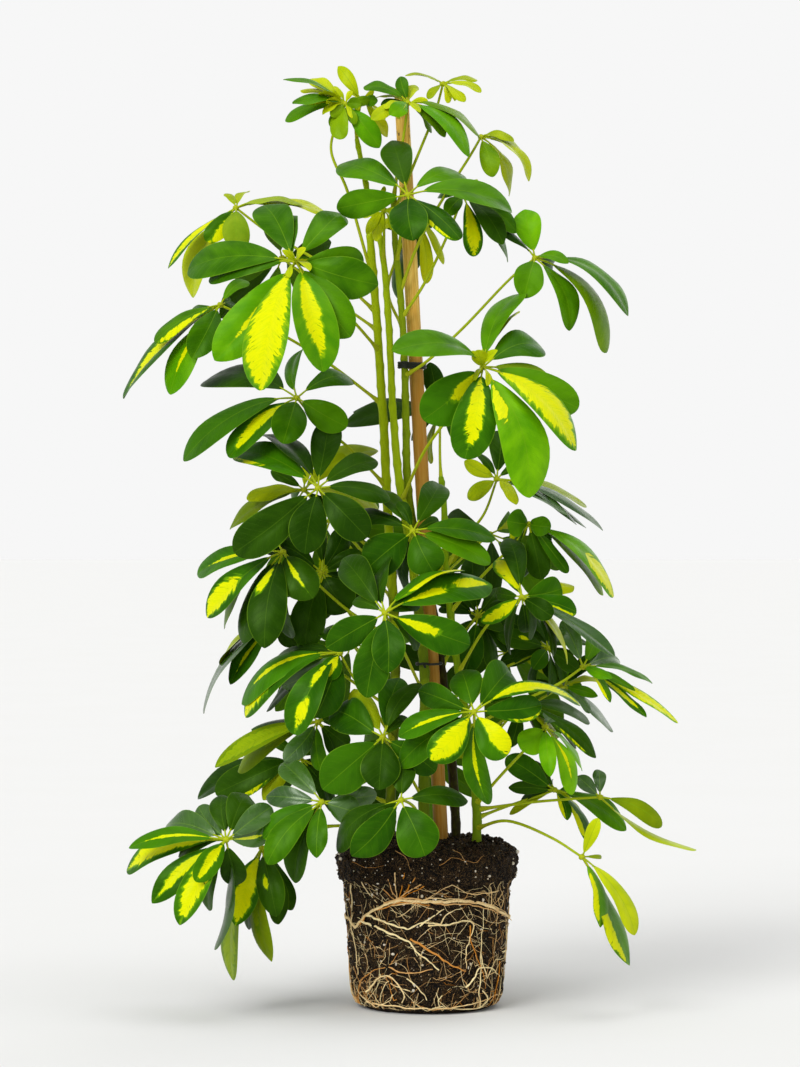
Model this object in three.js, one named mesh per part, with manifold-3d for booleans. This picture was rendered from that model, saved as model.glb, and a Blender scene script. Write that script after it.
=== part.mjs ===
// An umbrella house plant out of its pot: a bare root ball that keeps the pot's shape, four stems tied to a
// wooden stake, and fronds of variegated leaflets that spread like the ribs of an umbrella from their hubs.
// Millimetres, +Z up, the origin in the middle of the flat spot that the root ball rests on.
import * as THREE from 'three';
import { mergeVertices } from 'three/addons/utils/BufferGeometryUtils.js';
import Module from 'manifold-3d';

const wasm = await Module();
wasm.setup();

// Places read off the photograph are [u, v, depth]: pixels of its 800 by 1067 frame and millimetres behind
// the stems' axis. The eye stands level with the middle of the picture, this far in front of the axis.
const EYE = { x: -27, z: 472, distance: 3500 };
const PICTURE = { centreU: 400, centreV: 533.5, focal: 3500 };

// The gap that pieces keep where they meet, and the extra room that leaves keep to other pieces.
const SEAT_GAP = 0.3;
const LEAF_CLEARANCE = 0.4;

// Root ball: outline from the axis of the resting face up to the crumbled top, as [radius, height].
const BALL_OUTLINE = [
  [0, 0], [62, 0], [71, 5], [75, 14], [79, 68], [83, 124], [88.5, 131], [90.5, 144], [88, 158], [72, 165],
  [34, 167], [0, 166],
];
const BALL_SIDES = 28;

// The room round the ball, roots included, that leaves and petioles keep out of.
const BALL_ROOM = { topRadius: 92.5, bottomRadius: 76, height: 170, sides: 24 };

// Roots that circle and climb the ball.
const ROOT = { radius: 1.9, lift: 1.1, sides: 4 };
const ROOT_RING = { height: 101, wave: 12, steps: 26 };
const ROOT_STRANDS = {
  count: 9, steps: 4, top: 119, lowest: 12, rise: 12, slant: 0.32, sway: 0.06, stray: 0.3, taper: 0.45,
};

const STAKE = { foot: [446, 925, 6], top: [401, 88, 6], radius: 7.2, sides: 8 };
const TIE = { radius: 1.3, sides: 4, arcSteps: 4, slack: 0.9 };
const TIES = [
  { name: 'tie_upper', height: 640, stem: 'stem_slender' },
  { name: 'tie_middle', height: 447, stem: 'stem_main' },
  { name: 'tie_lower', height: 342, stem: 'stem_main' },
];

const STEM_SIDES = 6;
const STEM_EXTRA_STEPS = 3;
const STEMS = [
  {
    name: 'stem_main', baseRadius: 6, topRadius: 2.2,
    path: [
      [424, 872, -8], [424, 780, -8], [425, 710, -8], [423, 650, -8], [417, 600, -8], [409, 540, -8],
      [399, 480, -8], [393, 410, -8], [389, 330, -7], [382, 250, -5], [367, 190, 5], [357, 140, 12],
    ],
  },
  {
    name: 'stem_left', baseRadius: 5.2, topRadius: 3,
    path: [
      [390, 868, 10], [391, 790, 10], [395, 700, 9], [394, 620, 7], [391, 560, 6], [387, 500, 5],
      [384, 430, 5], [380, 370, 5], [376, 310, 3], [370, 236, 0],
    ],
  },
  {
    name: 'stem_slender', baseRadius: 5, topRadius: 2.6,
    path: [
      [457, 872, 16], [454, 790, 20], [445, 700, 22], [433, 610, 23], [418, 548, 21], [408, 490, 6],
      [406, 420, -4], [404, 350, -9], [400, 290, -10], [395, 240, -10], [394, 196, -10],
    ],
  },
  {
    name: 'stem_right', baseRadius: 4.8, topRadius: 2.8,
    path: [
      [477, 870, -24], [476, 800, -20], [469, 735, -12], [458, 670, -3], [449, 600, 3], [445, 545, 4],
      [444, 505, 2], [441, 478, 0],
    ],
  },
];

// Fronds. A petiole leaves its stem at the picture height joins, passes its waypoints and ends in the hub.
// faces is the way that the umbrella opens. Each leaflet is [tip u, tip v, width as seen, look, depth of the
// tip behind the hub, share of the usual arch]. Without a depth the tip lies on the umbrella's own drooping
// surface.
const FRONDS = [
  {
    name: 'frond_crown_left', stem: 'stem_left', joins: 284, hub: [345, 104, -5],
    petiole: [[347, 190, 0], [331, 148, -2]], faces: [-0.3, -0.3, 0.9],
    leaves: [
      [283, 78, 8, 'olive', -8], [300, 88, 7, 'yellow', 14], [292, 102, 12, 'green', -26],
      [283, 119, 16, 'green', 8], [310, 78, 14, 'yellow', 22], [341, 139, 14, 'yellow', -28],
      [380, 148, 21, 'green', -12], [333, 129, 17, 'green', -14],
    ],
  },
  {
    name: 'frond_crown_middle', stem: 'stem_main', joins: 140, hub: [362, 101, 15],
    petiole: [[356, 122, 13]], faces: [-0.1, -0.3, 0.95],
    leaves: [
      [337, 65, 17, 'olive', 8], [388, 137, 13, 'yellow', 12], [377, 101, 13, 'olive', -20],
    ],
  },
  {
    name: 'frond_crown_right', stem: 'stem_slender', joins: 196, hub: [408, 103, -14],
    petiole: [[398, 168, -12], [403, 140, -14]], faces: [0.1, -0.4, 0.9],
    leaves: [
      [400, 76, 13, 'green', 14], [416, 84, 11, 'olive', 24], [390, 114, 20, 'pale', -34],
      [434, 132, 7, 'green', 16], [447, 136, 14, 'green', -14],
      [472, 156, 17, 'green', -22, 1.5], [482, 137, 11, 'yellow', 8, 1.5], [363, 86, 11, 'green', 10, 1.5],
      [371, 119, 14, 'olive', -18],
    ],
  },
  {
    name: 'frond_crown_olive', stem: 'stem_slender', joins: 212, hub: [443, 84, 34],
    petiole: [[405, 186, -17], [420, 150, -5], [436, 110, 21]], faces: [0.2, -0.3, 0.93],
    leaves: [
      [405, 75, 6, 'olive', -8], [478, 79, 7, 'olive', 10],
      [482, 91, 8, 'olive', -12], [465, 101, 8, 'olive', -24],
      [428, 98, 7, 'olive', -20],
    ],
  },
  {
    name: 'frond_right_top', stem: 'stem_slender', joins: 292, hub: [481, 137, 8],
    petiole: [[420, 240, -16], [447, 192, -8], [470, 156, 2]], faces: [0.5, -0.3, 0.8],
    leaves: [
      [515, 140, 9, 'olive', -12, 1.7], [527, 158, 9, 'olive', 12, 1.7], [531, 181, 10, 'olive', -14, 1.7],
      [511, 197, 13, 'olive', 12, 1.7], [493, 177, 19, 'yellow', -22],
    ],
  },
  {
    name: 'frond_right_upper', stem: 'stem_slender', joins: 318, hub: [463, 196, -30],
    petiole: [[424, 284, -20], [448, 234, -28]], faces: [0.3, -0.5, 0.8],
    leaves: [
      [518, 232, 18, 'green', -6], [475, 257, 18, 'yellow', -10], [446, 214, 14, 'dark', -28],
      [504, 244, 19, 'dark', -26], [510, 262, 11, 'green', 12], [477, 178, 6, 'pale', 14],
    ],
  },
  {
    name: 'frond_upper_middle', stem: 'stem_slender', joins: 262, hub: [408, 195, -68],
    petiole: [[402, 226, -34]], faces: [0, -0.6, 0.8],
    leaves: [
      [413, 240, 36, 'green'], [337, 161, 27, 'green'], [335, 209, 27, 'green'], [391, 137, 30, 'green'],
      [461, 238, 22, 'green'], [466, 174, 20, 'green', null, 1.4], [513, 211, 24, 'green', null, 1.4],
    ],
  },
  {
    name: 'frond_upper_back', stem: 'stem_slender', joins: 330, hub: [414, 216, 44],
    petiole: [[388, 288, 34], [404, 240, 44]], faces: [0.1, -0.3, 0.95],
    leaves: [
      [446, 264, 13, 'olive', -4], [427, 284, 18, 'yellow', -12], [394, 300, 15, 'dark', 2],
      [411, 276, 18, 'dark', 16], [368, 236, 12, 'yellow', 10],
    ],
  },
  {
    name: 'frond_young_middle', stem: 'stem_main', joins: 262, hub: [384, 210, -24],
    petiole: [[384, 236, -16]], faces: [-0.2, -0.6, 0.8],
    leaves: [
      [366, 234, 10, 'yellow', -12], [376, 241, 9, 'yellow', -22], [360, 216, 8, 'olive', 4],
    ],
  },
  {
    name: 'frond_right_high', stem: 'stem_slender', joins: 376, hub: [535, 258, -35],
    petiole: [[426, 362, -22], [462, 329, -28], [512, 277, -34]], faces: [0.3, -0.5, 0.82],
    leaves: [
      [524, 298, 29, 'green', -34], [524, 208, 25, 'green', 12], [572, 331, 20, 'green', -16, 1.3],
      [612, 353, 18, 'underside', 6, 1.7], [631, 315, 14, 'green', -4, 1.7],
      [569, 262, 10, 'green', -24, 1.5],
      [486, 212, 9, 'dark', 6],
    ],
  },
  {
    name: 'frond_left_high', stem: 'stem_left', joins: 350, hub: [296, 262, -104],
    petiole: [[350, 318, -44], [318, 290, -86]], faces: [-0.15, -0.75, 0.63],
    leaves: [
      [257, 390, 42, 'yellow'], [325, 371, 40, 'yellow'], [214, 360, 43, 'variegated'],
      [183, 267, 33, 'green'], [350, 336, 40, 'green'], [380, 285, 39, 'green', null, 1.3],
      [262, 201, 35, 'green'],
      [342, 209, 29, 'green'], [208, 280, 24, 'dark', 30], [287, 213, 22, 'dark', 50],
    ],
  },
  {
    name: 'frond_left_far_top', stem: 'stem_left', joins: 312, hub: [236, 208, 44],
    petiole: [[322, 264, 34], [268, 232, 42]], faces: [-0.25, -0.3, 0.92],
    leaves: [
      [165, 266, 15, 'green', -8, 0.5], [206, 241, 18, 'variegated', -24], [190, 298, 21, 'yellow', 8],
      [240, 251, 26, 'underside', -30], [226, 193, 9, 'olive', 22], [249, 191, 9, 'olive', 30],
      [303, 203, 10, 'pale', -10], [330, 214, 11, 'yellow', 12],
    ],
  },
  {
    name: 'frond_left_far_middle', stem: 'stem_left', joins: 404, hub: [220, 305, 14],
    petiole: [[318, 356, 18], [258, 322, 18]], faces: [-0.3, -0.45, 0.84],
    leaves: [
      [119, 396, 20, 'variegated', 2, 0.5], [153, 341, 17, 'green', -8], [167, 393, 23, 'variegated', -24],
      [192, 358, 29, 'dark', -36], [248, 279, 13, 'dark', 26],
    ],
  },
  {
    name: 'frond_left_middle', stem: 'stem_left', joins: 486, hub: [297, 398, -24],
    petiole: [[348, 447, -12], [318, 423, -20]], faces: [-0.1, -0.6, 0.8],
    leaves: [
      [181, 460, 27, 'green', null, 1.5], [228, 457, 25, 'variegated'], [283, 443, 33, 'green'],
      [347, 427, 28, 'green'], [200, 376, 25, 'dark'], [356, 378, 19, 'green'], [301, 346, 11, 'green'],
    ],
  },
  {
    name: 'frond_left_dark', stem: 'stem_left', joins: 566, hub: [318, 488, -81],
    petiole: [[356, 536, -44], [330, 508, -70]], faces: [-0.1, -0.8, 0.6],
    leaves: [
      [305, 554, 36, 'dark'], [232, 553, 38, 'dark'], [367, 538, 34, 'dark'], [233, 449, 27, 'variegated'],
      [260, 432, 21, 'dark'], [329, 418, 28, 'dark'], [378, 458, 21, 'dark'], [392, 497, 19, 'dark'],
    ],
  },
  {
    name: 'frond_left_dark_back', stem: 'stem_left', joins: 590, hub: [304, 490, 49],
    petiole: [[352, 540, 36], [320, 508, 47]], faces: [-0.1, -0.4, 0.9],
    leaves: [
      [246, 498, 15, 'dark', -10], [228, 528, 17, 'dark', 8], [312, 458, 11, 'yellow', 16],
      [346, 455, 18, 'olive', -6], [378, 446, 22, 'olive', 18], [380, 509, 15, 'olive', -8],
    ],
  },
  {
    name: 'frond_left_variegated', stem: 'stem_left', joins: 640, hub: [283, 552, -60],
    petiole: [[345, 608, -36], [305, 572, -55]], faces: [-0.2, -0.7, 0.68],
    leaves: [
      [264, 648, 36, 'dark'], [313, 598, 35, 'variegated'], [203, 616, 22, 'variegated'],
      [195, 572, 17, 'variegated'], [238, 644, 24, 'dark', 4], [222, 628, 11, 'olive', 22],
    ],
  },
  {
    name: 'frond_right_big', stem: 'stem_main', joins: 500, hub: [483, 367, -120],
    petiole: [[424, 452, -52], [448, 418, -86], [470, 388, -112]], faces: [0.1, -0.75, 0.65],
    leaves: [
      [533, 497, 44, 'variegated'], [465, 459, 40, 'variegated'], [423, 420, 43, 'variegated'],
      [578, 450, 27, 'yellow', null, 1.3], [579, 408, 28, 'green', null, 1.5], [395, 350, 30, 'green'],
      [518, 290, 27, 'green'],
      [544, 345, 20, 'green', null, 1.4], [556, 388, 18, 'underside', 26], [519, 311, 11, 'yellow', 56],
      [477, 350, 8, 'olive', -16],
    ],
  },
  {
    name: 'frond_behind_stake', stem: 'stem_right', joins: 478, hub: [440, 415, 32],
    petiole: [[440, 458, 16]], faces: [0, -0.3, 0.95],
    leaves: [
      [344, 424, 23, 'dark', 4], [352, 410, 20, 'dark', 30], [430, 464, 8, 'olive', 10],
      [458, 442, 9, 'dark', -8], [446, 380, 12, 'dark', 16],
    ],
  },
  {
    name: 'frond_right_back', stem: 'stem_right', joins: 566, hub: [497, 479, 12],
    petiole: [[466, 537, 6], [484, 514, 8]], faces: [0.3, -0.4, 0.87],
    leaves: [
      [604, 530, 13, 'sheen', -6], [568, 514, 11, 'sheen', -26], [589, 525, 11, 'sheen', 14],
      [588, 504, 8, 'olive', 30], [464, 461, 14, 'olive', -8], [500, 430, 22, 'dark', 26],
      [468, 499, 15, 'olive', -22], [517, 504, 12, 'olive', -30],
    ],
  },
  {
    name: 'frond_centre_dark', stem: 'stem_main', joins: 606, hub: [413, 531, -81],
    petiole: [[417, 566, -47]], faces: [0, -0.75, 0.66],
    leaves: [
      [434, 573, 35, 'green'], [366, 569, 39, 'green'], [441, 481, 27, 'dark'], [349, 513, 17, 'dark'],
      [372, 487, 19, 'dark'], [496, 539, 18, 'green'], [492, 561, 23, 'green'],
    ],
  },
  {
    name: 'frond_centre_variegated', stem: 'stem_main', joins: 696, hub: [385, 613, -146],
    petiole: [[404, 652, -86], [392, 628, -127]], faces: [0, -0.8, 0.6],
    leaves: [
      [388, 673, 31, 'green'], [493, 584, 28, 'variegated'], [472, 646, 33, 'variegated'],
      [366, 698, 34, 'green', -14], [326, 648, 29, 'green'], [341, 557, 31, 'dark'], [387, 556, 16, 'dark'],
      [464, 566, 13, 'variegated'],
    ],
  },
  {
    name: 'frond_left_shaded', stem: 'stem_left', joins: 664, hub: [322, 573, -14],
    petiole: [[356, 622, -6]], faces: [0, -0.55, 0.83],
    leaves: [
      [346, 613, 37, 'dark', -28], [304, 650, 34, 'dark', -24], [346, 528, 22, 'dark', 8],
      [362, 551, 15, 'dark', -4], [264, 540, 18, 'dark', 6],
    ],
  },
  {
    name: 'frond_left_low_back', stem: 'stem_left', joins: 712, hub: [275, 622, 29],
    petiole: [[334, 668, 23]], faces: [-0.4, -0.3, 0.87],
    leaves: [
      [200, 713, 9, 'sheen', -8], [219, 664, 5, 'olive', 14], [229, 684, 20, 'variegated', -14],
      [296, 646, 20, 'dark', 6],
    ],
  },
  {
    name: 'frond_left_low', stem: 'stem_left', joins: 742, hub: [340, 653, -78],
    petiole: [[368, 698, -44], [350, 672, -70]], faces: [-0.2, -0.7, 0.68],
    leaves: [
      [326, 680, 20, 'variegated', -26], [316, 718, 35, 'green'], [291, 735, 29, 'variegated'],
      [281, 688, 23, 'sheen'], [240, 716, 22, 'variegated'], [236, 702, 22, 'variegated', 18],
      [264, 710, 13, 'dark', 24], [272, 657, 10, 'dark', 30],
    ],
  },
  {
    name: 'frond_left_low_inner', stem: 'stem_left', joins: 784, hub: [318, 722, -60],
    petiole: [[356, 758, -29], [334, 738, -52]], faces: [-0.2, -0.45, 0.87],
    leaves: [
      [214, 767, 27, 'underside', -6], [284, 761, 20, 'sheen', -28], [320, 771, 14, 'green', -24],
      [234, 770, 22, 'underside', 20], [251, 729, 8, 'sheen', 16], [349, 746, 18, 'dark', 14],
    ],
  },
  {
    name: 'frond_left_bottom_back', stem: 'stem_left', joins: 806, hub: [300, 758, 10],
    petiole: [[350, 784, 14]], faces: [-0.3, -0.45, 0.84],
    leaves: [
      [214, 794, 29, 'variegated', -6], [194, 794, 15, 'sheen', 20], [262, 800, 18, 'olive', -16],
      [334, 772, 20, 'dark', 12],
    ],
  },
  {
    name: 'frond_low_glossy', stem: 'stem_left', joins: 824, hub: [322, 802, -125],
    petiole: [[362, 806, -60], [338, 802, -104]], faces: [-0.05, -0.75, 0.66],
    leaves: [
      [282, 762, 23, 'sheen'], [265, 796, 20, 'sheen'], [266, 864, 25, 'green'], [316, 858, 20, 'green'],
      [379, 795, 20, 'sheen'], [362, 814, 27, 'sheen'], [262, 838, 20, 'variegated'],
      [376, 822, 20, 'green', 18], [292, 884, 24, 'dark', 4],
    ],
  },
  {
    name: 'frond_low_centre', stem: 'stem_main', joins: 800, hub: [383, 737, -120],
    petiole: [[404, 766, -62], [390, 748, -101]], faces: [-0.05, -0.75, 0.66],
    leaves: [
      [379, 790, 37, 'dark'], [322, 790, 42, 'green'], [331, 708, 36, 'green'], [400, 677, 27, 'green'],
      [436, 772, 27, 'green', 0], [354, 688, 22, 'olive', 46],
    ],
  },
  {
    name: 'frond_low_yellow', stem: 'stem_right', joins: 790, hub: [474, 712, -146],
    petiole: [[478, 752, -81], [475, 726, -127]], faces: [0.05, -0.75, 0.66],
    leaves: [
      [505, 758, 40, 'yellow'], [430, 760, 31, 'yellow'], [490, 803, 27, 'variegated'],
      [396, 735, 19, 'variegated'], [542, 705, 25, 'variegated'], [583, 703, 13, 'variegated'],
      [416, 690, 24, 'green'], [461, 670, 31, 'green'], [512, 668, 36, 'green'], [395, 765, 28, 'green', 10],
    ],
  },
  {
    name: 'frond_low_bright', stem: 'stem_right', joins: 802, hub: [545, 727, -94],
    petiole: [[504, 772, -62], [532, 742, -86]], faces: [0.1, -0.6, 0.8],
    leaves: [
      [550, 776, 21, 'bright'], [521, 750, 26, 'bright', -14], [573, 795, 18, 'bright', -8],
      [583, 771, 6, 'bright', 18],
    ],
  },
  {
    name: 'frond_right_inner', stem: 'stem_right', joins: 764, hub: [520, 705, -12],
    petiole: [[494, 736, -12]], faces: [0.2, -0.4, 0.9],
    leaves: [
      [598, 757, 19, 'variegated', -10], [578, 748, 15, 'dark', 12], [593, 720, 10, 'green', 26],
      [510, 748, 15, 'dark', -6],
    ],
  },
  {
    name: 'frond_right_edge', stem: 'stem_right', joins: 728, hub: [583, 667, -22],
    petiole: [[520, 702, -20], [560, 683, -22]], faces: [0.3, -0.4, 0.87],
    leaves: [
      [680, 721, 13, 'yellow', 4, 0.3], [648, 716, 13, 'variegated', -14], [653, 683, 10, 'sheen', 16],
      [636, 690, 15, 'green', -10], [612, 677, 14, 'olive', -34], [611, 702, 12, 'sheen', -30],
      [621, 660, 14, 'sheen', 34], [562, 619, 18, 'sheen', 14], [599, 633, 24, 'sheen', 40],
    ],
  },
  {
    name: 'frond_right_edge_back', stem: 'stem_slender', joins: 758, hub: [563, 686, 44],
    petiole: [[498, 724, 39]], faces: [0.2, -0.35, 0.92],
    leaves: [
      [598, 696, 14, 'olive', -14], [591, 713, 9, 'sheen', -6], [614, 731, 9, 'sheen', 8],
      [528, 684, 14, 'dark', 12], [544, 662, 13, 'dark', -8],
    ],
  },
  {
    name: 'frond_right_long', stem: 'stem_right', joins: 672, hub: [522, 597, -68],
    petiole: [[490, 622, -39]], faces: [0.1, -0.6, 0.8],
    leaves: [
      [616, 655, 21, 'sheen', null, 0.5], [577, 612, 17, 'variegated', null, 0.7],
      [481, 622, 24, 'yellow'], [507, 534, 28, 'dark'],
      [563, 588, 28, 'dark', 14], [575, 584, 15, 'yellow', 34], [496, 559, 19, 'yellow', 40],
      [552, 617, 19, 'olive', -24],
    ],
  },
  {
    name: 'frond_right_upright', stem: 'stem_right', joins: 612, hub: [529, 524, -10],
    petiole: [[486, 572, -4], [518, 540, -8]], faces: [0.3, -0.45, 0.84],
    leaves: [
      [617, 596, 18, 'yellow', -6, 1.3], [607, 594, 12, 'yellow', 14], [507, 521, 25, 'green', -20, 1.4],
      [551, 527, 22, 'green', -24, 1.4], [549, 547, 18, 'variegated', 6], [569, 573, 20, 'dark', -12],
      [510, 540, 15, 'yellow', 18], [541, 580, 24, 'dark', -2],
    ],
  },
  {
    name: 'frond_right_low_edge', stem: 'stem_right', joins: 808, hub: [600, 797, -30],
    petiole: [[534, 802, -22]], faces: [0.3, -0.4, 0.87],
    leaves: [
      [697, 848, 11, 'yellow', 8, -0.7], [664, 827, 21, 'olive', -10, 1.8], [599, 769, 13, 'sheen', 18],
      [577, 776, 14, 'sheen', 6],
    ],
  },
  {
    name: 'frond_right_low_inner', stem: 'stem_right', joins: 816, hub: [555, 790, 6],
    petiole: [[508, 806, 2]], faces: [0.1, -0.5, 0.86],
    leaves: [
      [627, 830, 19, 'green', -12], [506, 757, 30, 'green', -10], [568, 820, 11, 'variegated', -20],
      [590, 843, 11, 'variegated', -4], [584, 828, 5, 'olive', 14], [509, 814, 15, 'olive', 12],
      [508, 788, 20, 'dark', -4],
    ],
  },
  {
    name: 'frond_right_drooping', stem: 'stem_right', joins: 826, hub: [582, 857, -104],
    petiole: [[508, 821, -60], [552, 838, -88]], faces: [0.4, -0.5, 0.77],
    leaves: [
      [635, 964, 17, 'green', 6, 0.2], [604, 928, 15, 'yellow', -12], [637, 935, 18, 'yellow', -10],
      [598, 818, 18, 'yellow', -10], [603, 857, 9, 'dark', 18],
    ],
  },
  {
    name: 'frond_bottom_centre', stem: 'stem_main', joins: 822, hub: [401, 800, -151],
    petiole: [[413, 806, -81], [405, 801, -127]], faces: [-0.05, -0.8, 0.6],
    leaves: [
      [425, 856, 39, 'green'], [352, 857, 31, 'green'], [470, 799, 19, 'green'], [404, 763, 24, 'dark'],
      [372, 824, 19, 'dark', 4], [334, 851, 20, 'dark', 22],
    ],
  },
  {
    name: 'frond_bottom_left', stem: 'stem_left', joins: 826, hub: [226, 840, -130],
    petiole: [[330, 826, -68], [268, 828, -107]], faces: [-0.2, -0.7, 0.68],
    leaves: [
      [123, 869, 25, 'yellow'], [127, 846, 25, 'variegated', 2], [151, 903, 27, 'variegated'],
      [178, 925, 27, 'yellow'], [163, 823, 25, 'sheen'], [196, 881, 22, 'variegated', -46],
      [222, 792, 22, 'dark'], [198, 806, 22, 'sheen'], [248, 793, 26, 'dark'], [270, 833, 20, 'sheen'],
      [238, 886, 24, 'dark', 22], [211, 948, 17, 'sheen', 6, -1],
      [272, 806, 22, 'sheen', 10],
    ],
  },
  {
    name: 'frond_bottom_left_inner', stem: 'stem_left', joins: 832, hub: [262, 848, -55],
    petiole: [[334, 826, -26]], faces: [-0.1, -0.6, 0.8],
    leaves: [
      [235, 926, 28, 'yellow', -30], [276, 917, 26, 'dark', -36], [231, 981, 13, 'olive', 4],
      [270, 963, 23, 'olive', -14], [280, 925, 20, 'dark', 0], [294, 910, 16, 'dark', 16],
      [246, 930, 16, 'dark', 12],
    ],
  },
  {
    name: 'frond_right_dark_back', stem: 'stem_slender', joins: 704, hub: [548, 648, 31],
    petiole: [[492, 674, 31]], faces: [0.2, -0.4, 0.9],
    leaves: [
      [561, 634, 14, 'sheen', 24], [500, 615, 19, 'variegated', 8], [533, 669, 17, 'olive', -20],
      [498, 634, 18, 'variegated', -16], [540, 619, 15, 'dark', 6], [579, 671, 17, 'dark', -6],
    ],
  },
  {
    name: 'frond_centre_back', stem: 'stem_slender', joins: 668, hub: [478, 616, 49],
    petiole: [[458, 640, 42]], faces: [0, -0.4, 0.92],
    leaves: [
      [536, 642, 26, 'dark', -12], [424, 584, 26, 'dark', 6], [472, 556, 24, 'dark', 14],
      [464, 676, 24, 'olive', -8], [494, 672, 15, 'olive', 4],
    ],
  },
];

// Fronds on the side that the photograph doesn't show: their leaflets follow a rule.
const BACK_FRONDS = [
  {
    name: 'frond_back_upper', stem: 'stem_left', joins: 330, hub: [282, 258, 96],
    petiole: [[338, 302, 50]], faces: [-0.3, 0.55, 0.78], count: 7, length: 72, turn: 0.2,
  },
  {
    name: 'frond_back_right', stem: 'stem_slender', joins: 600, hub: [490, 534, 132],
    petiole: [[446, 574, 72]], faces: [0.25, 0.6, 0.76], count: 7, length: 82, turn: 0.5,
  },
  {
    name: 'frond_back_left', stem: 'stem_left', joins: 600, hub: [330, 520, 140],
    petiole: [[366, 568, 72]], faces: [-0.3, 0.6, 0.74], count: 7, length: 86, turn: 0.1,
  },
  {
    name: 'frond_back_middle', stem: 'stem_left', joins: 712, hub: [352, 644, 150],
    petiole: [[380, 682, 76]], faces: [-0.15, 0.65, 0.74], count: 7, length: 88, turn: 0.35,
  },
  {
    name: 'frond_back_low_right', stem: 'stem_slender', joins: 738, hub: [508, 652, 136],
    petiole: [[478, 694, 74]], faces: [0.25, 0.65, 0.72], count: 7, length: 84, turn: 0.7,
  },
  {
    name: 'frond_back_low', stem: 'stem_slender', joins: 812, hub: [416, 752, 150],
    petiole: [[436, 784, 82]], faces: [-0.1, 0.7, 0.7], count: 7, length: 86, turn: 0.9,
  },
];

// Leaflets: a thin arched blade on a narrow stalk, pointed at both ends. Its stations, between hub and tip,
// are [share of the length, share of the full width]; the first is the end of the stalk. Narrow ones have
// fewer.
const BLADE = { thickness: 0.8, stalkHalfWidth: 1.7, naturalWidth: 0.34, arch: 0.22 };
const BROAD_STATIONS = [[0.13, 0], [0.4, 0.84], [0.74, 0.94]];
const NARROW_STATIONS = [[0.13, 0], [0.6, 1]];
const BROADEST_NARROW = 20;
const PETIOLE = { baseRadius: 2, tipRadius: 1.5, sides: 3, tipRoom: 4 };
const HUB_RADIUS = 4.6;

// How the tips of an umbrella droop below the plane it faces out of, and how deep a tip may lie behind or
// before its hub: a share of the length as seen, and millimetres more.
const UMBRELLA = { droop: 0.22, deepShare: 0.72, deepRoom: 8 };

// Leaflets of the back fronds: width and droop as shares of the length, the share by which lengths vary, the
// steps of that variation, and the share of a depth shift that lies along the way the umbrella faces.
const RULE = { width: 0.36, droop: 0.3, sag: 0.15, vary: 0.1, varyStep: 5.1, varyStart: 9, shift: 0.8 };

// Leaflets of one frond may share their hub, and keep clear of each other past this share of their length.
const SIBLING_SHARE = 0.3;

// What a leaflet or petiole may change where it would cross another piece: depths in millimetres, arches and
// lengths as shares. The first choice that is clear is taken.
const TIP_SHIFTS = [0, -6, 6, -12, 12, -19, 19, -27, 27, -36, 36];
const ARCH_SHARES = [1, 0.45, 1.6];
const LENGTH_SHARES = [1, 0.86, 0.72];
const PETIOLE_SHIFTS = [0, -6, 6, -12, 12, -18, 18, -25, 25, -33, 33];

// Colours of the looks that leaflets have, and of the other pieces.
const LOOKS = {
  green: '#3f7d12', bright: '#5fae14', dark: '#254d0e', olive: '#8a9a20', yellow: '#cfd026',
  variegated: '#86a81c', underside: '#93b436', pale: '#c3d27e', sheen: '#5b8453',
};
const STEM_COLOURS = {
  stem_main: '#6d9a24', stem_left: '#7a8a2c', stem_slender: '#5a4a22', stem_right: '#78a82c',
};
const SOIL_COLOUR = '#2c2119';
const ROOT_COLOUR = '#b58a4c';
const STAKE_COLOUR = '#b5792f';
const TIE_COLOUR = '#1f2a1c';

// Turns a place read off the photograph into millimetres.
function fromPhoto([u, v, depth]) {
  const scale = (EYE.distance + depth) / PICTURE.focal;
  return new THREE.Vector3(
    EYE.x + (u - PICTURE.centreU) * scale,
    depth,
    EYE.z - (v - PICTURE.centreV) * scale,
  );
}

// Makes a closed geometry into a solid that can be joined and cut.
function toSolid(geometry) {
  const bare = geometry.clone();
  for (const name of ['normal', 'uv']) {
    if (bare.getAttribute(name)) {
      bare.deleteAttribute(name);
    }
  }
  const merged = mergeVertices(bare, 1e-4);
  return new wasm.Manifold(new wasm.Mesh({
    numProp: 3,
    vertProperties: new Float32Array(merged.getAttribute('position').array),
    triVerts: new Uint32Array(merged.getIndex().array),
  }));
}

// Makes a solid back into a geometry.
function toGeometry(solid) {
  const mesh = solid.getMesh();
  const geometry = new THREE.BufferGeometry();
  geometry.setAttribute('position', new THREE.BufferAttribute(new Float32Array(mesh.vertProperties), 3));
  geometry.setIndex(new THREE.BufferAttribute(new Uint32Array(mesh.triVerts), 1));
  const flat = geometry.toNonIndexed();
  flat.computeVertexNormals();
  return flat;
}

// Builds a geometry from points and triangles.
function meshGeometry(points, triangles) {
  const geometry = new THREE.BufferGeometry();
  geometry.setAttribute('position', new THREE.Float32BufferAttribute(points.flatMap((p) => p.toArray()), 3));
  geometry.setIndex(triangles.flat());
  return geometry;
}

// A direction that no bar of the plant runs along: the first corner of a bar's rings looks this way.
const TUBE_ACROSS = new THREE.Vector3(0.31, 0.87, 0.38);

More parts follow.
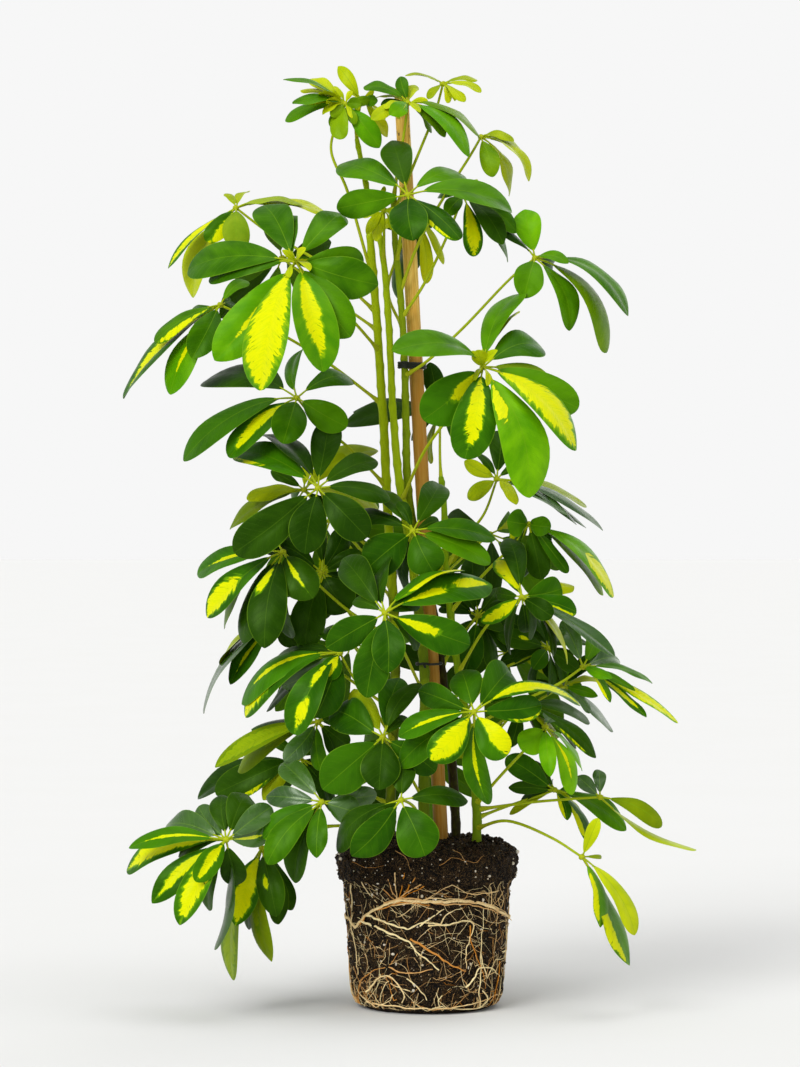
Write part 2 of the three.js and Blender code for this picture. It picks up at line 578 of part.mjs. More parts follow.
// A round bar through points, with a radius at each of them. A closed bar joins its last ring to its first.
function tube(points, radii, sides, closed = false) {
  const count = points.length;
  const rings = [];
  let across = TUBE_ACROSS;
  points.forEach((point, i) => {
    const before = points[closed ? (i + count - 1) % count : Math.max(i - 1, 0)];
    const after = points[closed ? (i + 1) % count : Math.min(i + 1, count - 1)];
    const along = after.clone().sub(before).normalize();
    across = across.clone().addScaledVector(along, -across.dot(along)).normalize();
    const other = along.clone().cross(across);
    for (let k = 0; k < sides; k += 1) {
      const angle = (2 * Math.PI * k) / sides;
      const reach = across.clone().multiplyScalar(Math.cos(angle)).addScaledVector(other, Math.sin(angle));
      rings.push(point.clone().addScaledVector(reach, radii[i]));
    }
  });
  const triangles = [];
  for (let i = 0; i < (closed ? count : count - 1); i += 1) {
    for (let k = 0; k < sides; k += 1) {
      const a = i * sides + k;
      const b = i * sides + ((k + 1) % sides);
      const c = ((i + 1) % count) * sides + ((k + 1) % sides);
      const d = ((i + 1) % count) * sides + k;
      triangles.push([a, b, c], [a, c, d]);
    }
  }
  if (!closed) {
    const last = (count - 1) * sides;
    for (let k = 1; k < sides - 1; k += 1) {
      triangles.push([0, k + 1, k], [last, last + k, last + k + 1]);
    }
  }
  return meshGeometry(rings, triangles);
}

// Samples a smooth curve through waypoints.
function smoothPath(waypoints, steps) {
  return new THREE.CatmullRomCurve3(waypoints, false, 'centripetal').getPoints(steps);
}

// A blade on its two faces: a point at the root, two corners at each station and a point at the tip.
function blade(leaf, grow, rootShare = 0) {
  const half = BLADE.thickness / 2 + grow;
  const upper = [];
  const lower = [];
  const place = (share, halfWidth, stretch) => {
    const centre = leaf.curve.getPoint(share);
    const along = leaf.curve.getTangent(share);
    const normal = leaf.side.clone().cross(along).normalize();
    for (const [list, lift] of [[upper, half], [lower, -half]]) {
      const middle = centre.clone().addScaledVector(normal, lift).addScaledVector(along, stretch);
      const corners = halfWidth > 0 ? [-halfWidth, halfWidth] : [0];
      list.push(...corners.map((reach) => middle.clone().addScaledVector(leaf.side, reach)));
    }
  };
  place(rootShare, 0, 0);
  const stations = leaf.stations.filter(([share]) => share > rootShare);
  for (const [share, fullness] of stations) {
    place(share, Math.max(BLADE.stalkHalfWidth, (fullness * leaf.width) / 2) + grow, 0);
  }
  place(1, 0, grow);
  const low = upper.length;
  const tip = low - 1;
  const last = tip - 2;
  const triangles = [
    [0, 2, 1], [low, low + 1, low + 2], [last, last + 1, tip], [low + last, low + tip, low + last + 1],
  ];
  for (let i = 1; i < last; i += 2) {
    triangles.push([i, i + 1, i + 3], [i, i + 3, i + 2], [low + i, low + i + 3, low + i + 1]);
    triangles.push([low + i, low + i + 2, low + i + 3]);
  }
  const rights = [0, ...stations.map((_, i) => 2 * i + 2), tip];
  const lefts = [0, ...stations.map((_, i) => 2 * i + 1), tip];
  for (let i = 0; i < rights.length - 1; i += 1) {
    const [a, b] = [rights[i], rights[i + 1]];
    const [c, d] = [lefts[i], lefts[i + 1]];
    triangles.push([low + a, low + b, b], [low + a, b, a], [low + c, c, d], [low + c, d, low + d]);
  }
  return meshGeometry([...upper, ...lower], triangles);
}

// Sets a leaflet between its hub and tip: its width, the way its blade turns and its arched middle line.
function layLeaf(hub, tip, faces, seenWidth, archShare) {
  const reach = tip.clone().sub(hub);
  const length = reach.length();
  const along = reach.normalize();
  const width = Math.max(seenWidth, BLADE.naturalWidth * length);
  const flat = along.clone().cross(new THREE.Vector3(0, 1, 0)).normalize();
  const deep = along.clone().cross(flat).normalize();
  const turn = Math.acos(Math.min(seenWidth / width, 1));
  let best = null;
  for (const sign of [1, -1]) {
    const side = flat.clone().multiplyScalar(Math.cos(turn)).addScaledVector(deep, sign * Math.sin(turn));
    const normal = side.clone().cross(along);
    const agreement = normal.dot(faces);
    if (best === null || Math.abs(agreement) > Math.abs(best.agreement) + 1e-6) {
      best = { side, normal, agreement };
    }
  }
  if (best.agreement < 0) {
    best.side.negate();
    best.normal.negate();
  }
  const control = hub.clone().add(tip).multiplyScalar(0.5)
    .addScaledVector(best.normal, BLADE.arch * archShare * length);
  const stations = seenWidth < BROADEST_NARROW ? NARROW_STATIONS : BROAD_STATIONS;
  return { curve: new THREE.QuadraticBezierCurve3(hub, control, tip), side: best.side, width, stations };
}

// Depth of a tip behind its hub where the table gives none: the tip droops below the plane that the umbrella
// faces out of.
function umbrellaDepth(hub, tip, faces) {
  const across = tip.x - hub.x;
  const up = tip.z - hub.z;
  const seen = Math.hypot(across, up);
  const depth = (-UMBRELLA.droop * seen - faces.x * across - faces.z * up) / faces.y;
  const limit = UMBRELLA.deepShare * seen + UMBRELLA.deepRoom;
  return THREE.MathUtils.clamp(depth, -limit, limit);
}

// The choices for one leaflet of the table, in the order in which they are tried.
function* leafChoices(hubPlace, hub, faces, [u, v, seenWidth, , givenDepth, arch = 1]) {
  const level = fromPhoto([u, v, hubPlace[2]]);
  const depth = givenDepth ?? umbrellaDepth(hub, level, faces);
  for (const lengthShare of LENGTH_SHARES) {
    for (const shift of TIP_SHIFTS) {
      for (const archShare of ARCH_SHARES) {
        const full = fromPhoto([u, v, hubPlace[2] + depth + shift]);
        const tip = hub.clone().lerp(full, lengthShare);
        yield layLeaf(hub, tip, faces, seenWidth, arch * archShare);
      }
    }
  }
}

// The choices for one leaflet of a back frond: even steps round the umbrella, drooping below its plane.
function* ruleChoices(frond, hub, faces, index) {
  const first = new THREE.Vector3(0, 0, 1).cross(faces).normalize();
  const second = faces.clone().cross(first);
  for (const lengthShare of LENGTH_SHARES) {
    for (const shift of TIP_SHIFTS) {
      const angle = 2 * Math.PI * (index + frond.turn) / frond.count;
      const variation = 1 + RULE.vary * Math.sin(RULE.varyStep * index + RULE.varyStart * frond.turn);
      const length = frond.length * lengthShare * variation;
      const spread = first.clone().multiplyScalar(Math.cos(angle)).addScaledVector(second, Math.sin(angle));
      const tip = hub.clone().addScaledVector(spread, length);
      tip.addScaledVector(faces, RULE.shift * shift - RULE.droop * length);
      tip.z -= RULE.sag * length;
      yield layLeaf(hub, tip, faces, RULE.width * length, 1);
    }
  }
}

// What stands already, as solids with their boxes, to keep new pieces clear of.
const standing = [];

function stand(node, geometry, kind) {
  geometry.computeBoundingBox();
  standing.push({ node, kind, box: geometry.boundingBox.clone(), solid: toSolid(geometry) });
}

function overlaps(one, other) {
  const shared = one.intersect(other);
  const found = shared.getMesh().triVerts.length > 0;
  shared.delete();
  return found;
}

function isClear(geometry, skip) {
  geometry.computeBoundingBox();
  const solid = toSolid(geometry);
  const hit = standing.some((piece) => !skip(piece) && piece.box.intersectsBox(geometry.boundingBox)
    && overlaps(solid, piece.solid));
  solid.delete();
  return !hit;
}

// Stems and the stake.
const stemLines = new Map();
const rods = new Map();
for (const stem of STEMS) {
  const points = smoothPath(stem.path.map(fromPhoto), stem.path.length + STEM_EXTRA_STEPS);
  const last = points.length - 1;
  const radii = points.map((_, i) => THREE.MathUtils.lerp(stem.baseRadius, stem.topRadius, i / last));
  stemLines.set(stem.name, points);
  rods.set(stem.name, { points, radii, sides: STEM_SIDES });
}
rods.set('stake', {
  points: [fromPhoto(STAKE.foot), fromPhoto(STAKE.top)],
  radii: [STAKE.radius, STAKE.radius],
  sides: STAKE.sides,
});

// A stem or the stake, grown all round and past both ends.
function rod(name, grow) {
  const { points, radii, sides } = rods.get(name);
  const path = points.map((point) => point.clone());
  const last = path.length - 1;
  path[0].addScaledVector(points[0].clone().sub(points[1]).normalize(), grow);
  path[last].addScaledVector(points[last].clone().sub(points[last - 1]).normalize(), grow);
  return tube(path, radii.map((radius) => radius + grow), sides);
}

// Point and radius of a stem or the stake at a height.
function atHeight(name, height) {
  const { points, radii } = rods.get(name);
  const found = points.findIndex((point, i) => i > 0 && point.z >= height);
  const index = found < 0 ? points.length - 1 : found;
  const low = points[index - 1];
  const high = points[index];
  const share = (height - low.z) / (high.z - low.z);
  return {
    point: low.clone().lerp(high, share),
    radius: THREE.MathUtils.lerp(radii[index - 1], radii[index], share),
  };
}

// A tie: a wire loop that runs round the stake and one stem, each with a little slack.
function tie({ height, stem }) {
  const ends = ['stake', stem].map((name) => atHeight(name, height));
  const heading = ends[1].point.clone().sub(ends[0].point).setZ(0);
  const gap = heading.length();
  const turn = Math.atan2(heading.y, heading.x);
  const reaches = ends.map(({ radius }) => radius + TIE.radius + SEAT_GAP + TIE.slack);
  const lean = Math.acos((reaches[0] - reaches[1]) / gap);
  const path = [];
  for (const [end, from, to] of [[0, lean, 2 * Math.PI - lean], [1, -lean, lean]]) {
    for (let i = 0; i <= TIE.arcSteps; i += 1) {
      const angle = turn + THREE.MathUtils.lerp(from, to, i / TIE.arcSteps);
      const centre = ends[end].point;
      path.push(new THREE.Vector3(
        centre.x + reaches[end] * Math.cos(angle), centre.y + reaches[end] * Math.sin(angle), height,
      ));
    }
  }
  return tube(path, path.map(() => TIE.radius), TIE.sides, true);
}

// The root ball, with a plain hole for each stem and for the stake.
function rootBall() {
  const outline = BALL_OUTLINE.map(([radius, height]) => new THREE.Vector2(radius, height));
  let ball = toSolid(new THREE.LatheGeometry(outline, BALL_SIDES).rotateX(Math.PI / 2));
  for (const name of rods.keys()) {
    ball = ball.subtract(toSolid(rod(name, SEAT_GAP)));
  }
  return toGeometry(ball);
}

// Radius of the ball's side at a height.
function ballRadius(height) {
  const index = BALL_OUTLINE.findIndex(([, z], i) => i > 1 && z >= height);
  const [lowRadius, low] = BALL_OUTLINE[index - 1];
  const [highRadius, high] = BALL_OUTLINE[index];
  return THREE.MathUtils.lerp(lowRadius, highRadius, (height - low) / (high - low));
}

function onBall(angle, height) {
  const reach = ballRadius(height) + ROOT.radius + ROOT.lift;
  return new THREE.Vector3(reach * Math.cos(angle), reach * Math.sin(angle), height);
}

// The root net: one root that circles the ball, and strands that cross it on their way down.
function rootNet() {
  const ring = [];
  for (let i = 0; i < ROOT_RING.steps; i += 1) {
    const angle = (2 * Math.PI * i) / ROOT_RING.steps;
    ring.push(onBall(angle, ROOT_RING.height - ROOT_RING.wave * Math.cos(2 * angle)));
  }
  let net = toSolid(tube(ring, ring.map(() => ROOT.radius), ROOT.sides, true));
  const { count, steps, top, lowest, rise, stray, sway, taper } = ROOT_STRANDS;
  for (let k = 0; k < count; k += 1) {
    const start = (2 * Math.PI * (k + stray * Math.sin(3.7 * k))) / count;
    const slant = ROOT_STRANDS.slant * Math.sin(2.3 * k + 1);
    const bottom = lowest + rise * (1 + Math.sin(1.9 * k));
    const strand = [];
    for (let i = 0; i <= steps; i += 1) {
      const share = i / steps;
      const angle = start + slant * share + sway * Math.sin(7 * share + k);
      strand.push(onBall(angle, THREE.MathUtils.lerp(top, bottom, share)));
    }
    const radii = strand.map((_, i) => ROOT.radius * (1 - (taper * i) / steps));
    net = net.add(toSolid(tube(strand, radii, ROOT.sides)));
  }
  return toGeometry(net);
}

// The knob in which a frond's leaflets meet.
function hubBall(hub, grow = 0) {
  return new THREE.OctahedronGeometry(HUB_RADIUS + grow).translate(hub.x, hub.y, hub.z);
}

// A frond's petiole, from its stem to its hub, in the first choice of depth that is clear.
function growPetiole(frond) {
  const line = stemLines.get(frond.stem);
  const tipOfStem = line[line.length - 1];
  const start = fromPhoto([PICTURE.centreU, frond.joins, 0]).z;
  const root = start > tipOfStem.z - PETIOLE.tipRoom ? tipOfStem : atHeight(frond.stem, start).point;
  for (const shift of PETIOLE_SHIFTS) {
    const hubPlace = [frond.hub[0], frond.hub[1], frond.hub[2] + shift];
    const bends = frond.petiole.map(([u, v, depth], i) => (
      fromPhoto([u, v, depth + (shift * (i + 1)) / (frond.petiole.length + 1)])
    ));
    const hub = fromPhoto(hubPlace);
    const path = [root, ...bends, hub];
    const last = path.length - 1;
    const radii = path.map((_, i) => THREE.MathUtils.lerp(PETIOLE.baseRadius, PETIOLE.tipRadius, i / last));
    const outside = atHeight(frond.stem, root.z).radius + 1;
    const first = root.clone().lerp(path[1], outside / root.distanceTo(path[1]));
    const grownRadii = radii.map((radius) => radius + LEAF_CLEARANCE);
    const sleeve = tube([first, ...path.slice(1)], grownRadii, PETIOLE.sides);
    const skip = (piece) => piece.node === frond.stem;
    if (isClear(sleeve, skip) && isClear(hubBall(hub, LEAF_CLEARANCE), () => false)) {
      return { hubPlace, hub, tube: tube(path, radii, PETIOLE.sides) };
    }
  }
  return null;
}

// The first choice of leaflet that is clear of other nodes, and of its siblings too where that can be had.
function pickLeaf(node, choices) {
  const notOthers = (piece) => piece.node === node || piece.kind === 'outer leaf';
  const notSiblings = (piece) => piece.node !== node || piece.kind === 'leaf';
  let firstClear = null;
  for (const leaf of choices) {
    if (isClear(blade(leaf, LEAF_CLEARANCE), notOthers)) {
      if (isClear(blade(leaf, LEAF_CLEARANCE, SIBLING_SHARE), notSiblings)) {
        return leaf;
      }
      firstClear ??= leaf;
    }
  }
  return firstClear;
}

// A frond in one solid: petiole, hub and leaflets, with a seat cut where the petiole meets its stem.
function growFrond(frond, petiole) {
  const faces = new THREE.Vector3(...frond.faces).normalize();
  const seated = toSolid(petiole.tube).subtract(toSolid(rod(frond.stem, SEAT_GAP)));
  let body = seated.add(toSolid(hubBall(petiole.hub)));
  const count = frond.leaves ? frond.leaves.length : frond.count;
  for (let index = 0; index < count; index += 1) {
    const choices = frond.leaves
      ? leafChoices(petiole.hubPlace, petiole.hub, faces, frond.leaves[index])
      : ruleChoices(frond, petiole.hub, faces, index);
    const leaf = pickLeaf(frond.name, choices);
    if (leaf) {
      stand(frond.name, blade(leaf, 0), 'leaf');
      stand(frond.name, blade(leaf, 0, SIBLING_SHARE), 'outer leaf');
      body = body.add(toSolid(blade(leaf, 0)));
    }
  }
  return toGeometry(body);
}

function paint(colour, roughness) {
  return new THREE.MeshStandardMaterial({ color: new THREE.Color(colour), roughness, metalness: 0 });
}

// The colour of a frond as a whole: the mean of its leaflets' looks.
function frondColour(frond) {
  const looks = frond.leaves ? frond.leaves.map((leaf) => leaf[3]) : ['dark'];
  const sum = new THREE.Color(0, 0, 0);
  for (const look of looks) {
    sum.add(new THREE.Color(LOOKS[look]));
  }
  return sum.multiplyScalar(1 / looks.length);
}

const plant = new THREE.Group();

function addPiece(name, geometry, material) {
  const mesh = new THREE.Mesh(geometry, material);
  mesh.name = name;
  plant.add(mesh);
}

addPiece('root_ball', rootBall(), paint(SOIL_COLOUR, 0.95));
addPiece('root_net', rootNet(), paint(ROOT_COLOUR, 0.8));
addPiece('stake', rod('stake', 0), paint(STAKE_COLOUR, 0.6));
for (const stem of STEMS) {
  addPiece(stem.name, rod(stem.name, 0), paint(STEM_COLOURS[stem.name], 0.55));
}
for (const name of rods.keys()) {
  stand(name, rod(name, 0), 'rod');
}
for (const entry of TIES) {
  const geometry = tie(entry);
  addPiece(entry.name, geometry, paint(TIE_COLOUR, 0.5));
  stand(entry.name, geometry, 'tie');
}
const { topRadius, bottomRadius, height, sides } = BALL_ROOM;
const ballRoom = new THREE.CylinderGeometry(topRadius, bottomRadius, height, sides);
stand('root_ball', ballRoom.rotateX(Math.PI / 2).translate(0, 0, height / 2), 'soil');

const grown = [];
for (const frond of [...FRONDS, ...BACK_FRONDS]) {
  const petiole = growPetiole(frond);
  if (petiole) {
    stand(frond.name, petiole.tube, 'petiole');
    stand(frond.name, hubBall(petiole.hub), 'hub');
    grown.push([frond, petiole]);
  }
}
for (const [frond, petiole] of grown) {
  addPiece(frond.name, growFrond(frond, petiole), paint(frondColour(frond), 0.4));
}

export default plant;
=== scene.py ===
"""An umbrella house plant out of its pot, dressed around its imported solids.

A root ball that keeps the pot's shape, its net of roots, four stems tied to a wooden stake, and fronds of
variegated leaflets. Lengths are millimetres until a mesh is made, and metres in Blender.
"""

import logging
import math
import random
from collections.abc import Callable, Iterator, Sequence
from dataclasses import dataclass, field, replace
from enum import Enum
from functools import cache

import bmesh
import bpy
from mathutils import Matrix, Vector, noise
from mathutils.kdtree import KDTree

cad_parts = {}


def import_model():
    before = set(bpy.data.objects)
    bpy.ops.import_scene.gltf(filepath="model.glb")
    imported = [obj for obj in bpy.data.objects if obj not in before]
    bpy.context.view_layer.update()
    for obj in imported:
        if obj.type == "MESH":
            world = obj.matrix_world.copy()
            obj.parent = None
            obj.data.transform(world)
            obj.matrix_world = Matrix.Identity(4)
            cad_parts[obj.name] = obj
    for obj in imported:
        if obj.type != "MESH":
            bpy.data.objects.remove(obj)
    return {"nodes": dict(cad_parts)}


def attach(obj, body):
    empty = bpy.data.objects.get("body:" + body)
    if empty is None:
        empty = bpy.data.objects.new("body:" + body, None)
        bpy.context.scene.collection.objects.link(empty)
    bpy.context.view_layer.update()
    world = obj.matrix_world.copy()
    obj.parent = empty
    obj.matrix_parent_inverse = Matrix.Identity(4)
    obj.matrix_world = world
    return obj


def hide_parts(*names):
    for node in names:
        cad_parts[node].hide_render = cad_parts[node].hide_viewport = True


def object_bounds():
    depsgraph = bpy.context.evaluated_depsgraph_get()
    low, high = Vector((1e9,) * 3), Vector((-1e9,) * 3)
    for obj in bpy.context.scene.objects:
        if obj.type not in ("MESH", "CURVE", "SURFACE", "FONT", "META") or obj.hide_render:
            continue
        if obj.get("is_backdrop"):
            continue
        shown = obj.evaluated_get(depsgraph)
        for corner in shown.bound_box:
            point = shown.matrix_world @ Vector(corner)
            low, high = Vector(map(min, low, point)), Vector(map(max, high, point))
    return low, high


log = logging.getLogger("umbrella_plant")

METRES = 0.001
CENTIMETRE = 10
TINY = 1e-6
UP = Vector((0, 0, 1))
Place = tuple[float, float, float]
Colour = tuple[int, int, int]


def linear(colour: Colour) -> tuple[float, float, float, float]:
    """Turns an 8-bit display colour into the linear one that a shader takes.

    Args:
        colour: Red, green and blue from 0 to 255.

    Returns:
        Linear red, green, blue and an opaque alpha.
    """
    shares = [channel / 255 for channel in colour]
    flat = [s / 12.92 if s <= 0.04045 else ((s + 0.055) / 1.055) ** 2.4 for s in shares]
    return flat[0], flat[1], flat[2], 1.0


def blend(low: float, high: float, share: float) -> float:
    """Gives the number at a share of the way from low to high."""
    return low + (high - low) * share


def clamp(value: float, low: float, high: float) -> float:
    """Keeps a number between two limits."""
    return max(low, min(high, value))


def round_axis(angle: float, radius: float, height: float) -> Vector:
    """Gives the place at an angle and a distance from an upright axis."""
    return Vector((radius * math.cos(angle), radius * math.sin(angle), height))


@dataclass(frozen=True)
class PictureFrame:
    """The photograph's eye: level with the middle of the picture, in front of the plant's axis."""

    eye_across: float = -27.0
    eye_height: float = 472.0
    eye_distance: float = 3500.0
    centre_u: float = 400.0
    centre_v: float = 533.5
    focal: float = 3500.0
    picture_height: float = 1067.0

    def place(self, u: float, v: float, depth: float) -> Vector:
        """Turns a pixel and a depth behind the axis into a place.

        Args:
            u: Pixels from the picture's left side.
            v: Pixels from its top.
            depth: Millimetres behind the plant's axis.

        Returns:
            The place in millimetres.
        """
        scale = (self.eye_distance + depth) / self.focal
        across = self.eye_across + (u - self.centre_u) * scale
        return Vector((across, depth, self.eye_height - (v - self.centre_v) * scale))


PICTURE = PictureFrame()


# Curves.


def smooth_path(waypoints: Sequence[Vector], steps: int) -> list[Vector]:
    """Samples a smooth curve through waypoints, centripetal and even within each stretch.

    Args:
        waypoints: The places that the curve passes.
        steps: How many steps the whole curve has.

    Returns:
        One place more than there are steps.
    """
    ends = [2 * waypoints[0] - waypoints[1], *waypoints, 2 * waypoints[-1] - waypoints[-2]]
    stretches = len(waypoints) - 1
    path = []
    for step in range(steps + 1):
        along = stretches * step / steps
        index = min(int(along), stretches - 1)
        before, start, end, after = ends[index:index + 4]
        spans = [max((b - a).length, TINY) ** 0.5 for a, b in ((before, start), (start, end), (end, after))]
        chord = (end - start) / spans[1]
        leave = (start - before) / spans[0] - (end - before) / (spans[0] + spans[1]) + chord
        reach = chord - (after - start) / (spans[1] + spans[2]) + (after - end) / spans[2]
        leave, reach = leave * spans[1], reach * spans[1]
        s = along - index
        path.append(
            start + leave * s + (3 * (end - start) - 2 * leave - reach) * s ** 2
            + (2 * (start - end) + leave + reach) * s ** 3
        )
    return path


@dataclass(frozen=True)
class Rod:
    """A stem or the stake as a line of places, with a radius at each."""

    points: tuple[Vector, ...]
    radii: tuple[float, ...]

    def at_height(self, height: float) -> tuple[Vector, float]:
        """Finds the place and radius of the rod at a height."""
        last = len(self.points) - 1
        index = next((i for i in range(1, last) if self.points[i].z >= height), last)
        low, high = self.points[index - 1], self.points[index]
        share = clamp((height - low.z) / (high.z - low.z), 0, 1)
        return low.lerp(high, share), blend(self.radii[index - 1], self.radii[index], share)


TUBE_SEAM = Vector((0.31, 0.87, 0.38))
LUMP_GRAIN = 1.7
LUMP_VARIETY = 97


@dataclass
class MeshDraft:
    """One piece before Blender gets it: places in millimetres, faces, finishes and facts for the shaders.

    lay holds centimetres along and across the part of the plant, and a random draw. zone holds the share
    across, the share along and how far inside a yellow patch the place is.
    """

    points: list[Vector] = field(default_factory=list)
    lay: list[Place] = field(default_factory=list)
    zone: list[Place] = field(default_factory=list)
    faces: list[tuple[int, ...]] = field(default_factory=list)
    finishes: list[int] = field(default_factory=list)
    undersides: list[bool] = field(default_factory=list)
    rims: set[int] = field(default_factory=set)

    def add_point(self, point: Vector, lay: Place = (0, 0, 0), zone: Place = (0, 0, 0)) -> int:
        """Adds a place with its facts and returns its number."""
        self.points.append(point)
        self.lay.append(lay)
        self.zone.append(zone)
        return len(self.points) - 1

    def add_face(self, corners: tuple[int, ...], finish: int, underside: bool = False) -> None:
        """Adds a face that looks outward."""
        self.faces.append(corners)
        self.finishes.append(finish)
        self.undersides.append(underside)

    def add_tube(
        self, points: Sequence[Vector], radii: Sequence[float], sides: int, finish: int, draw: float = 0.0,
        closed: bool = False, relief: Callable[[float, float], float] | None = None,
    ) -> None:
        """Adds a round bar along a line.

        Args:
            points: The middle line.
            radii: The radius at each place of the line.
            sides: Sides of each ring.
            finish: Number of the finish.
            draw: A random draw that the shader tells bars apart by.
            closed: Joins the last ring to the first.
            relief: Extra radius at a length along the bar and an angle round it.
        """
        count = len(points)
        first = len(self.points)
        across = TUBE_SEAM
        travelled = 0.0
        for i, point in enumerate(points):
            before = points[(i - 1) % count if closed else max(i - 1, 0)]
            after = points[(i + 1) % count if closed else min(i + 1, count - 1)]
            along = (after - before).normalized()
            across = (across - along * across.dot(along)).normalized()
            other = along.cross(across)
            travelled += (point - points[max(i - 1, 0)]).length
            for k in range(sides):
                angle = math.tau * k / sides
                radius = radii[i] + (relief(travelled, angle) if relief else 0.0)
                reach = across * math.cos(angle) + other * math.sin(angle)
                lay = (travelled / CENTIMETRE, angle * radii[i] / CENTIMETRE, draw)
                self.add_point(point + reach * radius, lay, (0, i / count, 0))
        for i in range(count if closed else count - 1):
            for k in range(sides):
                low, high = first + i * sides, first + (i + 1) % count * sides
                turn = (k + 1) % sides
                self.add_face((low + k, low + turn, high + turn, high + k), finish)
        if not closed:
            last = first + (count - 1) * sides
            self.add_face(tuple(first + k for k in reversed(range(sides))), finish)
            self.add_face(tuple(last + k for k in range(sides)), finish)

    def add_lump(self, centre: Vector, size: Vector, finish: int, draw: float, rough: float = 0.25) -> None:
        """Adds a small crumb: a ball whose surface goes in and out.

        Args:
            centre: Its middle.
            size: Its half sizes across, deep and high.
            finish: Number of the finish.
            draw: A random draw that sets its form and tone.
            rough: Share by which its surface goes in and out.
        """
        first = len(self.points)
        corners, faces = crumb_form()
        for corner in corners:
            push = 1 + rough * noise.noise(corner * LUMP_GRAIN + UP * draw * LUMP_VARIETY)
            place = Vector((corner.x * size.x, corner.y * size.y, corner.z * size.z)) * push
            self.add_point(centre + place, (place.x / CENTIMETRE, place.y / CENTIMETRE, draw))
        for face in faces:
            self.add_face(tuple(first + corner for corner in face), finish)

    def build(self, name: str, materials: Sequence[bpy.types.Material]) -> bpy.types.Object:
        """Makes the Blender object.

        Args:
            name: Name of the piece.
            materials: The finishes, in the order of their numbers.

        Returns:
            The object, linked to the scene.
        """
        mesh = bpy.data.meshes.new(name)
        mesh.from_pydata([point * METRES for point in self.points], [], self.faces)
        for material in materials:
            mesh.materials.append(material)
        mesh.polygons.foreach_set("material_index", self.finishes)
        mesh.polygons.foreach_set("use_smooth", [True] * len(self.faces))
        for title, facts in (("lay", self.lay), ("zone", self.zone)):
            attribute = mesh.attributes.new(title, "FLOAT_VECTOR", "POINT")
            attribute.data.foreach_set("vector", [number for fact in facts for number in fact])
        sides = mesh.attributes.new("underside", "FLOAT", "FACE")
        sides.data.foreach_set("value", [float(flag) for flag in self.undersides])
        if self.rims:
            sharp = [edge.vertices[0] in self.rims and edge.vertices[1] in self.rims for edge in mesh.edges]
            mesh.attributes.new("sharp_edge", "BOOLEAN", "EDGE").data.foreach_set("value", sharp)
        mesh.update()
        piece = bpy.data.objects.new(name, mesh)
        bpy.context.scene.collection.objects.link(piece)
        return piece


@cache
def crumb_form() -> tuple[list[Vector], list[tuple[int, ...]]]:
    """Gives the corners and faces of a plain ball of 80 triangles, made once."""
    ball = bmesh.new()
    bmesh.ops.create_icosphere(ball, subdivisions=2, radius=1)
    corners = [vertex.co.copy() for vertex in ball.verts]
    faces = [tuple(vertex.index for vertex in face.verts) for face in ball.faces]
    ball.free()
    return corners, faces


def settle(piece: bpy.types.Object, nodes: Sequence[str]) -> None:
    """Fixes a piece to the plant's one body, in place of its solids, and reports it."""
    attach(piece, "root")
    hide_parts(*nodes)
    log.info("%s: %d faces, for %s", piece.name, len(piece.data.polygons), ", ".join(nodes))


# Finishes.

Socket = bpy.types.NodeSocket


